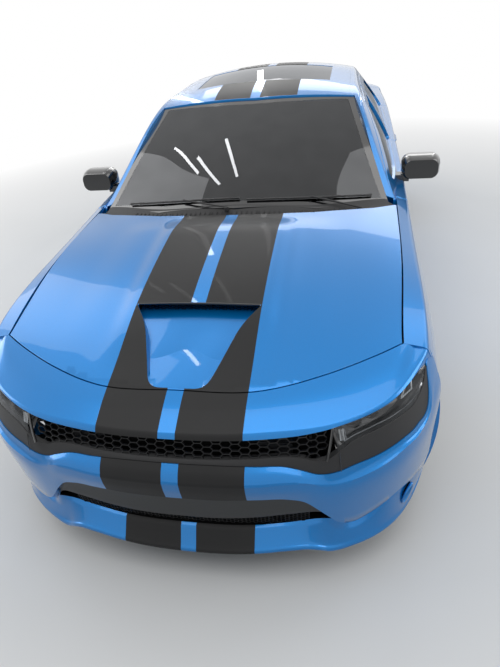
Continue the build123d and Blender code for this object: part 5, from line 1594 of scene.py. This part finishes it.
@dataclass
class Ring:
    """Equal pieces set round an axle with Geometry Nodes."""

    radius: float
    count: int

    def spread(self, item: Mesher) -> Tuple[Array, List[Tuple[int, ...]]]:
        """Sets copies of a piece round the axle.

        Args:
            item: The piece, with x along the radius, y along the ring and z along the axle.

        Returns:
            Points and faces of all copies about the origin.
        """
        mesh = bpy.data.meshes.new("ring_item")
        mesh.from_pydata(np.vstack(item.points).tolist(), [], item.faces)
        tree = Layout("ring", {"Radius": self.radius, "Count": self.count}, mesh)
        places = tree.node("GeometryNodeMeshCircle", {"Radius": tree.given["Radius"], "Vertices": tree.given["Count"]})
        index = tree.node("GeometryNodeInputIndex")
        share = tree.node("ShaderNodeMath", {0: index.outputs[0], 1: tree.given["Count"]}, operation="DIVIDE")
        turn = tree.node("ShaderNodeMath", {0: share.outputs[0], 1: 2 * math.pi}, operation="MULTIPLY")
        spin = tree.node("ShaderNodeCombineXYZ", {"Z": turn.outputs[0]})
        placed = tree.node("GeometryNodeInstanceOnPoints", {"Points": places.outputs[0], "Rotation": spin.outputs[0],
                                                            "Instance": tree.given["Geometry"]})
        return tree.run(placed, item.looks[0])


@dataclass
class Wheel:
    """One wheel's tyre with its tread, and the nuts, cap and valve of its rim."""

    body: Body
    tyre: str
    side: int
    axle_y: float
    axle_z: float = 364.0
    track: float = 805.0
    tread_radius: float = 355.0
    blocks: int = 66
    # each row of tread blocks: its middle and half its width from the tyre's middle, and its slant
    rows: Tuple[Triple, ...] = ((-87, 17, 5), (-46, 17, -4), (0, 19, 0), (46, 17, 4), (87, 17, -5))
    hub: float = 96.0
    nut_radius: float = 52.0
    nuts: int = 5
    # one side wall: how far from the tyre's middle, and how far from the axle
    wall: Tuple[Pair, ...] = ((103, 256), (112, 262), (118, 276), (121.6, 300), (121.8, 312), (121, 320), (121.6, 321),
                              (120.6, 330), (117, 342), (110, 352), (102, 355))
    inside: Tuple[Pair, ...] = ((100, 262), (96, 300), (96, 338))

    def placed(self, points: Array) -> Array:
        """Turns points about the origin, z along the axle, into the wheel's place."""
        return np.column_stack([self.side * (self.track + points[:, 2]), self.axle_y + points[:, 0],
                                self.axle_z + self.side * points[:, 1]])

    def put(self, mesh: Mesher, points: Array, faces: List[Tuple[int, ...]], look: int = 0) -> None:
        """Adds faces to a mesh, with their points turned into the wheel's place."""
        mesh.add_faces(self.placed(points), faces, look)

    def block(self, corners: Sequence[Sequence[Sequence[float]]]) -> Tuple[Array, List[Tuple[int, ...]]]:
        """Repeats one tread block round the tyre.

        Args:
            corners: Rings of the block's corners, from its foot to its face.

        Returns:
            Points and faces of all blocks.
        """
        block = Mesher("tread_block", [Look.RUBBER])
        block.grid(corners, ring=True)
        block.cap(corners[-1])
        return Ring(self.tread_radius, self.blocks).spread(block)

    def build(self) -> None:
        """Builds the tyre with its tread, and the rim's fittings."""
        tyre = Mesher(f"{self.body.value}_tyre", [Look.RUBBER])
        carcass = Mesher("carcass", [Look.RUBBER])
        profile = (*((-w, r) for w, r in self.wall), *self.wall[::-1], *self.inside,
                   *((-w, r) for w, r in self.inside[::-1]))
        carcass.grid([[(r * math.cos(a), r * math.sin(a), w) for w, r in profile]
                               for a in (*around(96), 0.0)], ring=True, flip=True)
        self.put(tyre, np.vstack(carcass.points), carcass.faces)
        square = ((-1, -1), (1, -1), (1, 1), (-1, 1))
        for middle, half, skew in self.rows:
            self.put(tyre, *self.block([
                [(r, y * (15.2 - inset) + skew * z, middle + z * (half - inset)) for y, z in square]
                for r, inset in ((-4.5, 0.0), (6.6, 0.0), (8.0, 1.6))]))
        for edge in (-1, 1):
            self.put(tyre, *self.block([
                [(r, y * half, edge * (middle + out * z)) for y, z in square]
                for r, half, middle, out in ((-14, 13, 112.5, 4.0), (-4, 13, 109.0, 3.8), (2.5, 12, 107.0, 1.8))]))
        turned_out(tyre.build(self.body, sharp=32.0, replaces=(self.tyre,)))
        self.fittings()

    def fittings(self) -> None:
        """Builds the rim's nuts, cap and valve."""
        fittings = Mesher(f"{self.body.value}_fittings", [Look.IRON, Look.GLOSS])
        nut = Mesher("nut", [Look.IRON])
        rings = [circle(radius, depth, around(6)) for radius, depth in ((10, 0), (10, 14), (8, 17), (3, 17))]
        nut.grid(rings, ring=True)
        nut.cap(rings[-1])
        points, faces = Ring(self.nut_radius, self.nuts).spread(nut)
        self.put(fittings, points + (0, 0, self.hub), faces)
        cap = Mesher("cap", [Look.GLOSS])
        cap.grid([circle(radius, self.hub + depth, around(32)) for radius, depth in
                           ((33, 0), (33, 9), (31, 11), (24, 12), (22, 10.5), (2, 11.5))], ring=True)
        self.put(fittings, np.vstack(cap.points), cap.faces, 1)
        valve = Mesher("valve", [Look.IRON])
        valve.tube([(-232.0, 0, 104), (-226.0, 0, 116), (-222.0, 0, 126)], 3.6, sides=8)
        self.put(fittings, np.vstack(valve.points), valve.faces)
        turned_out(fittings.build(self.body))


@dataclass
class Cushion:
    """One stuffed piece: rounded blocks fused, blown up by cloth simulation, with piping along its seams."""

    name: str
    centre: Triple
    lean: float
    # x, y, z of each block's middle from the centre, and its size
    blocks: Blocks
    seams: Seams = ()
    facing: Triple = (0.0, 0.0, 1.0)
    voxel: float = 0.010
    pressure: float = 4.0
    frames: int = 20
    cap: float = 0.014
    look: Look = Look.LEATHER

    def tilt(self) -> Matrix:
        """The cushion's lean about the car's cross axis."""
        return Matrix.Rotation(math.radians(-self.lean), 4, "X")

    def build(self, replaces: Iterable[str] = ()) -> None:
        """Args:
            replaces: CAD nodes it stands for.
        """
        start = Mesher(self.name, [self.look])
        for middle, size in self.blocks:
            start.box(middle, size, bevel=min(size) * 0.42)
        mesh = bpy.data.meshes.new(self.name)
        mesh.from_pydata((np.vstack(start.points) * MM).tolist(), [], start.faces)
        made = linked(self.name, mesh)
        remesh = made.modifiers.new("fuse", "REMESH")
        remesh.mode, remesh.voxel_size = "VOXEL", self.voxel
        self.bake(made)
        self.stuff(made)
        smooth = made.modifiers.new("fine", "SUBSURF")
        smooth.levels = smooth.render_levels = 1
        self.bake(made)
        self.pipe(made)
        made.data.transform(Matrix.Translation(Vector(self.centre) * MM) @ self.tilt())
        made.data.materials.clear()
        made.data.materials.append(PALETTE.get(self.look))
        made.data.shade_smooth()
        ridden(made, Body.CHASSIS, self.look, replaces)

    def stuff(self, made: bpy.types.Object) -> None:
        """Blows the cushion up by cloth simulation, with a cap on how far a point moves.

        Args:
            made: The cushion, about its own centre.
        """
        before = mesh_points(made.data)
        settings = made.modifiers.new("stuffing", "CLOTH").settings
        settings.use_pressure, settings.uniform_pressure_force = True, self.pressure
        settings.effector_weights.gravity = 0.0
        settings.quality = 5
        scene = bpy.context.scene
        for step in range(1, self.frames + 1):
            scene.frame_set(step)
        self.bake(made)
        moved = mesh_points(made.data) - before
        length = np.linalg.norm(moved, axis=1, keepdims=True)
        moved *= np.minimum(1.0, self.cap / np.maximum(length, 1e-9))
        made.data.vertices.foreach_set("co", (before + moved).ravel())
        scene.frame_set(1)

    def bake(self, made: bpy.types.Object) -> None:
        """Turns the modified mesh into the object's own.

        Args:
            made: The object with its modifiers.
        """
        mesh = bpy.data.meshes.new_from_object(made.evaluated_get(bpy.context.evaluated_depsgraph_get()))
        made.modifiers.clear()
        made.data = mesh

    def pipe(self, made: bpy.types.Object) -> None:
        """Lays piping on the cushion along its seams.

        Args:
            made: The cushion, about its own centre.
        """
        if not self.seams:
            return
        mesh = made.data
        faces = [tuple(face.vertices) for face in mesh.polygons]
        tree = BVHTree.FromPolygons([vertex.co.copy() for vertex in mesh.vertices], faces)
        way = Vector(self.facing)
        across = Vector((0, 0, 1)) if abs(way.y) > 0.5 else Vector((0, 1, 0))
        piping = Mesher(f"{self.name}_piping", [Look.GLOSS])
        for (x0, v0), (x1, v1) in self.seams:
            path = []
            for t in np.linspace(0, 1, 25):
                spot = Vector((x0 + (x1 - x0) * t, 0, 0)) * MM + across * ((v0 + (v1 - v0) * t) * MM) + way * 0.6
                place = tree.ray_cast(spot, -way)[0]
                if place is not None:
                    path.append(np.array(place) / MM)
            if len(path) > 3:
                piping.tube(path, 2.6, sides=6)
        turn = np.array(self.tilt().to_3x3())
        piping.points = [p @ turn.T + np.array(self.centre) for p in piping.points]
        piping.build(Body.CHASSIS)


@dataclass
class Cabin:
    """The front seats and the rear bench."""

    seat_x: float = 370.0
    seat_y: float = -60.0
    bench_voxel: float = 0.012

    def build(self) -> None:
        """Builds every cushion and the headrests' posts."""
        for side, name in ((1, "left"), (-1, "right")):
            x, y = side * self.seat_x, self.seat_y
            Cushion(f"seat_{name}_cushion", (x, y, 365), 0.0,
                    self.bolstered((0, 0, -12), (360, 490, 96), (205, -6, 2), (100, 470, 118)),
                    self.quilt(160, -215, 215, -60, 90)).build(("front_seats",) if side == 1 else ())
            Cushion(f"seat_{name}_back", (x, y + 400, 695), 20.0,
                    (*self.bolstered((0, 12, 0), (340, 88, 590), (200, -6, -20), (100, 112, 540)),
                     ((0, 12, 240), (440, 86, 110))),
                    self.quilt(150, -270, 250, -120, 60), facing=FORWARD).build()
            Cushion(f"seat_{name}_headrest", (x, y + 530, 1096), 20.0, (((0, 0, 0), (246, 76, 150)),)).build()
            posts = Mesher(f"seat_{name}_posts", [Look.STEEL])
            for post in (-60, 60):
                posts.tube([(x + post, y + 488, 970), (x + post, y + 522, 1066)], 6.0)
            posts.build(Body.CHASSIS)
        Cushion("rear_bench", (0, 690, 356), 0.0,
                (((-300, 0, -6), (560, 440, 100)), ((300, 0, -6), (560, 440, 100)), ((0, 0, -10), (200, 430, 92))),
                self.channels(190), voxel=self.bench_voxel).build(("rear_seat",))
        Cushion("rear_backrest", (0, 966, 686), 10.0,
                (((-300, 0, 0), (560, 92, 560)), ((300, 0, 0), (560, 92, 560)), ((0, 0, -20), (200, 84, 520))),
                self.channels(250), facing=FORWARD, voxel=self.bench_voxel).build()

    def bolstered(self, middle: Triple, size: Triple, aside: Triple, bolster: Triple) -> Blocks:
        """A front seat's middle block and its two side blocks, each with its middle and its size."""
        return (middle, size), ((-aside[0], *aside[1:]), bolster), (aside, bolster)

    def quilt(self, half: float, low: float, high: float, *across: float) -> Seams:
        """The two long seams of a front seat, half their distance from its middle, and the seams across."""
        return (*(((x, low), (x, high)) for x in (-half, half)), *(((-half, v), (half, v)) for v in across))

    def channels(self, half: float) -> Seams:
        """The four seams of the rear bench or its backrest, of a half length."""
        return tuple(((x, -half), (x, half)) for x in (-290, 290, -90, 90))


@dataclass
class Rear:
    """The blank number plate and the exhaust tips."""

    plate_z: float = 450.0
    tip_x: float = 590.0
    tip_z: float = 274.0
    # radius and place along the car of each ring of a tip
    tip: Tuple[Pair, ...] = ((36, 2380), (37, 2508), (35, 2512), (32.5, 2509), (31.5, 2380))

    def build(self) -> None:
        """Builds the rear's fittings."""
        plate = Mesher("rear_plate", [Look.PLATE, Look.MATTE])
        plate.box((0, 2523.5, self.plate_z), (305, 3, 152), bevel=1.2)
        plate.box((0, 2511, self.plate_z), (322, 21, 168), bevel=2.0, look=1)
        plate.build(Body.CHASSIS)
        tips = Mesher("exhaust_tips", [Look.STEEL])
        for x in (self.tip_x, -self.tip_x):
            for aside in (-38, 38):
                rings = np.array([circle(radius, y, around(40)) for radius, y in self.tip])[..., [0, 2, 1]]
                tips.grid(rings + (x + aside, 0, self.tip_z), ring=True, flip=True)
        tips.build(Body.CHASSIS)


@dataclass
class Flank:
    """One side's door handles and mirror glass."""

    side: int
    handle_z: float = 822.0
    mirror: Triple = (962.0, -538.0, 1040.0)
    mirror_half: Pair = (89.0, 51.0)

    def build(self) -> None:
        """Builds the handles and the mirror's glass."""
        hand = "left" if self.side == 1 else "right"
        for door, y in (("front", 46.0), ("rear", 1000.0)):
            touch = Touch(f"{door}_door_{hand}")
            path = []
            for k in np.linspace(-100, 100, 17):
                found = touch.at((self.side * 1200, y + k, self.handle_z + 0.02 * k), (-self.side, 0, 0))
                if found is not None:
                    lift = 17.0 * (1 - (abs(k) / 106) ** 6) - 1.0
                    path.append(found + (self.side * lift, 0, 0))
            if len(path) < 5:
                continue
            handle = Mesher(f"{door}_handle_{hand}", [Look.PAINT, Look.GLOSS])
            handle.tube(path, 8.5, sides=12)
            handle.tube(np.array(path) - (self.side * 6.0, 0, 4.0), 13.0, look=1, sides=12)
            handle.build(Body[f"{door}_door_{hand}".upper()])
        glass = Mesher(f"mirror_glass_{hand}", [Look.CHROME, Look.MATTE])
        x, y, z = self.mirror
        x *= self.side
        for inset, out, look in ((10.0, 1.0, 1), (16.0, 2.4, 0)):
            half, rise = self.mirror_half[0] - inset, self.mirror_half[1] - inset
            loop = rounded([(-half, -rise, 34), (half, -rise, 34), (half, rise, 34), (-half, rise, 34)])
            rows = [np.column_stack([x + loop[:, 0], np.full(len(loop), y + lift), z + loop[:, 1]])
                    for lift in (-4.0, out)]
            rows.append(np.broadcast_to((x, y + out, z), rows[-1].shape))
            glass.grid(rows, look, ring=True)
        turned_out(glass.build(Body[f"front_door_{hand}".upper()]))


@dataclass(frozen=True)
class Patch:
    """A thin trim sheet laid on a CAD node: its outline seen from one side and how far it stands out."""

    name: str
    node: str
    body: Body
    look: Look
    # rows of (first, last) across and the height of each row, in the plane seen along way
    rows: Tuple[Triple, ...]
    way: Triple
    lift: float = 1.2
    columns: int = 40

    def lay(self) -> None:
        """Lays the sheet, with its edge turned down onto the node."""
        touch = Touch(self.node)
        way = np.array(self.way, float)
        across = np.array((0.0, 1.0, 0.0)) if abs(way[0]) > 0.5 else np.array((1.0, 0.0, 0.0))
        lines = []
        for first, last, z in self.rows:
            line = []
            for spot in np.linspace(first, last, self.columns):
                found = touch.at(across * spot + (0, 0, z) - way * 3200.0, way)
                if found is None:
                    return LOG.warning("%s: nothing under %.0f, %.0f", self.name, spot, z)
                line.append(found - way * self.lift)
            lines.append(line)
        top = np.array(lines)
        mesh = Mesher(self.name, [self.look])
        under = top + way * (self.lift + 1.0)
        mesh.grid(top)
        mesh.grid(under, flip=True)
        loop = [np.concatenate([p[0], p[1:, -1], p[-1, -2::-1], p[-2:0:-1, 0]]) for p in (top, under)]
        mesh.grid(loop, ring=True)
        turned_out(mesh.build(self.body))


FUEL_DOOR_Y = 1764.0


def patches() -> List[Patch]:
    """The trim sheets of the rear and the sides.

    Returns:
        The sheets in the order of making.
    """
    valance = tuple((inset - 490, 490 - inset, z) for z, inset in ((296, 0), (322, 6), (346, 16), (362, 34)))
    found = [Patch("rear_valance", "rear_fascia", Body.CHASSIS, Look.MATTE, valance, FORWARD, 1.6)]
    for name, low, high in (("edge", 957, 970), ("foot", 838, 851)):
        found.append(Patch(f"deck_lamp_{name}", "decklid", Body.BOOT_LID, Look.GLOSS,
                           ((-552, 552, low), (-552, 552, high)), FORWARD))
    for side, hand in ((1, "left"), (-1, "right")):
        for door, first, last in (("front", -900.0, 150.0), ("rear", 196.0, 960.0)):
            node = f"{door}_door_{hand}"
            found.append(Patch(f"{door}_door_strip_{hand}", node, Body[node.upper()], Look.MATTE,
                               tuple((first, last, z) for z in (284, 300, 318)), (-side, 0, 0), 1.4))
    door = tuple((FUEL_DOOR_Y - half, FUEL_DOOR_Y + half, z) for z, half in
                 ((772, 46), (782, 58), (808, 66), (836, 66), (862, 58), (872, 46)))
    found.append(Patch("fuel_door", "side_frame_left", Body.CHASSIS, Look.PAINT, door, (-1, 0, 0), columns=12))
    return found


DRESS: Dict[str, Look] = {
    "rear_fascia": Look.STRIPED, "decklid": Look.STRIPED, "roof_panel": Look.STRIPED, "windshield": Look.GLASS,
    "backlight": Look.DARK_GLASS, "sunroof_glass": Look.DARK_GLASS, "tail_lamps": Look.RED, "deck_lamp": Look.RED,
    "underbody": Look.UNDERSEAL, "engine": Look.IRON, "exhaust": Look.STEEL, "front_suspension": Look.IRON,
    "rear_suspension": Look.IRON, "dashboard": Look.DASH, "seat_bases": Look.DASH, "steering_wheel": Look.LEATHER,
    "front_seats": Look.LEATHER, "rear_seat": Look.LEATHER, "cowl": Look.MATTE,
}
# For the other nodes, the first of these that the name starts with
STARTS: Tuple[Tuple[str, Look], ...] = (
    ("tyre", Look.RUBBER), ("rim", Look.RIM), ("knuckle", Look.IRON), ("fender", Look.PAINT),
    ("side_frame", Look.PAINT), ("mirror", Look.GLOSS), ("front_door_glass", Look.GLASS),
    ("rear_door_glass", Look.DARK_GLASS), ("front_door", Look.PAINT), ("rear_door", Look.PAINT))


def dress(nodes: Dict[str, bpy.types.Object]) -> None:
    """Gives every carried-over CAD node its procedural material.

    Args:
        nodes: The CAD objects by name.
    """
    for name, node in nodes.items():
        look = DRESS.get(name) or next((look for start, look in STARTS if name.startswith(start)), Look.MATTE)
        material = PALETTE.get(look)
        if not node.material_slots:
            node.data.materials.append(material)
        for held in node.material_slots:
            held.material = material


# Each lamp's name, place, aim, width and height in metres, and watts
LAMPS = (
    ("ceiling_front", (0.2, -3.4, 4.8), (0, -1.4, 0.6), (6.0, 3.0), 80),
    ("ceiling_left", (3.6, 0.8, 4.4), (0.4, 0, 0.8), (2.0, 4.4), 40),
    ("ceiling_right", (-3.9, 0.8, 4.4), (-0.4, 0, 0.8), (2.0, 4.4), 40),
    ("ceiling_rear", (0.0, 4.6, 3.6), (0, 1.6, 0.8), (4.0, 1.6), 40),
    ("streak_near", (-1.15, 1.3, 5.0), (-0.5, -0.4, 1.2), (0.07, 0.9), 2.2),
    ("streak_mid", (-1.75, 1.1, 5.0), (-0.5, -0.4, 1.2), (0.07, 0.9), 2.2),
    ("streak_far", (-2.4, 1.5, 5.0), (-0.5, -0.4, 1.2), (0.07, 0.7), 1.8),
    ("tube_left", (2.0, 3.4, 3.4), (0.3, -1.2, 0.9), (0.10, 3.0), 9),
    ("tube_mid", (-0.6, 3.4, 3.5), (0, -1.2, 0.9), (0.10, 3.0), 9),
    ("tube_right", (-1.8, 3.2, 3.4), (0, -1.2, 0.9), (0.10, 3.0), 9),
    ("side_left", (5.0, -1.6, 2.2), (0, -0.6, 0.6), (3.4, 2.0), 60),
    ("side_right", (-5.0, -1.6, 2.2), (0, -0.6, 0.6), (3.4, 2.0), 60),
)


@dataclass
class Studio:
    """The camera as the photograph was taken, a pale floor and the ceiling's lights."""

    eye: Triple = (585.0, -3590.0, 1912.0)
    azimuth: float = -0.2281
    elevation: float = 0.5807
    roll: float = 0.1079
    focal: float = 510.6
    height_px: int = 667
    sensor: float = 36.0
    floor_reach: float = 40.0
    # how far from the middle the floor starts to turn white, and over what width
    white_from: float = 2.6
    white_over: float = 3.4

    def camera(self) -> None:
        """Places the camera."""
        flat = math.cos(self.elevation)
        ahead = Vector((math.sin(self.azimuth) * flat, math.cos(self.azimuth) * flat, -math.sin(self.elevation)))
        right = ahead.cross(Vector((0, 0, 1))).normalized()
        down = ahead.cross(right)
        c, s = math.cos(self.roll), math.sin(self.roll)
        right, down = c * right + s * down, -s * right + c * down
        data = bpy.data.cameras.new("photo_camera")
        data.sensor_width = self.sensor
        data.lens = self.focal * self.sensor / self.height_px
        camera = linked("photo_camera", data)
        axes = Matrix((right, -down, -ahead)).transposed().to_4x4()
        axes.translation = Vector(self.eye) * MM
        camera.matrix_world = axes
        bpy.context.scene.camera = camera

    def floor(self) -> None:
        """A wide flat pale floor, whose far part the camera sees as white."""
        data = bpy.data.meshes.new("studio_floor")
        corners = ((-1, -1), (1, -1), (1, 1), (-1, 1))
        data.from_pydata([(x * self.floor_reach, y * self.floor_reach, 0.0) for x, y in corners], [], [range(4)])
        graph = Graph(bpy.data.materials.new("pale_floor"))
        cloud = graph.noise(0.8, 4.0)
        colour = graph.mix(cloud, (0.66, 0.66, 0.655), (0.74, 0.74, 0.735))
        shaded = graph.node("ShaderNodeBsdfPrincipled", {"Base Color": colour, "Roughness": (cloud * 0.1) + 0.5,
                                                         "Specular IOR Level": 0.2})
        far = graph.node("ShaderNodeVectorMath", {0: graph.place()}, output="Value", operation="LENGTH")
        white = graph.node("ShaderNodeEmission", {"Color": (1.0, 1.0, 1.0, 1.0), "Strength": 1.0})
        seen = graph.node("ShaderNodeLightPath", output="Is Camera Ray")
        share = ((far - self.white_from) / self.white_over).capped() * seen
        data.materials.append(graph.surface(graph.node("ShaderNodeMixShader", {0: share, 1: shaded, 2: white})))
        linked("studio_floor", data)

    def room(self) -> None:
        """A white surround for the camera, mirrors and glass, and a dimmer, cooler one that gives the light."""
        world = bpy.data.worlds.new("studio")
        bpy.context.scene.world = world
        graph = Graph(world, "ShaderNodeOutputWorld")
        camera, glossy, through_glass = (graph.node("ShaderNodeLightPath", output=ray) for ray in
                                         ("Is Camera Ray", "Is Glossy Ray", "Is Transmission Ray"))
        white = graph.node("ShaderNodeBackground", {"Color": (1.0, 1.0, 1.0, 1.0)})
        dim = graph.node("ShaderNodeBackground", {"Color": (0.62, 0.66, 0.70, 1.0), "Strength": 0.60})
        seen = camera.larger(glossy).larger(through_glass)
        graph.surface(graph.node("ShaderNodeMixShader", {0: seen, 1: dim, 2: white}))

    def light(self, name: str, place: Sequence[float], aim: Sequence[float], size: Pair, power: float) -> None:
        """One soft area light.

        Args:
            name: Its name.
            place: Where it is, in metres.
            aim: What it points at.
            size: Its width and height.
            power: Its watts.
        """
        data = bpy.data.lights.new(name, "AREA")
        data.shape, data.size, data.size_y, data.energy = "RECTANGLE", size[0], size[1], power
        made = linked(name, data)
        made.location = place
        made.rotation_euler = (Vector(aim) - Vector(place)).to_track_quat("-Z", "Y").to_euler()

    def build(self) -> None:
        """Sets the whole studio."""
        self.camera()
        self.floor()
        self.room()
        for lamp in LAMPS:
            self.light(*lamp)
        bpy.context.scene.view_settings.view_transform = "Standard"


def main() -> None:
    """Builds the whole car and its studio."""
    logging.basicConfig(level=logging.INFO)
    dress(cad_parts)
    Nose().build()
    for side in (1, -1):
        Headlamp(side).build()
    Bonnet().build()
    Cowl().build()
    for end, axle_y in (("front", -1575.0), ("rear", 1477.0)):
        for hand, side in (("left", 1), ("right", -1)):
            Wheel(Body[f"wheel_{end}_{hand}".upper()], f"tyre_{end}_{hand}", side, axle_y).build()
    for side in (1, -1):
        Flank(side).build()
    Rear().build()
    for patch in patches():
        patch.lay()
    Cabin().build()
    Studio().build()


if __name__ == "__main__":
    main()
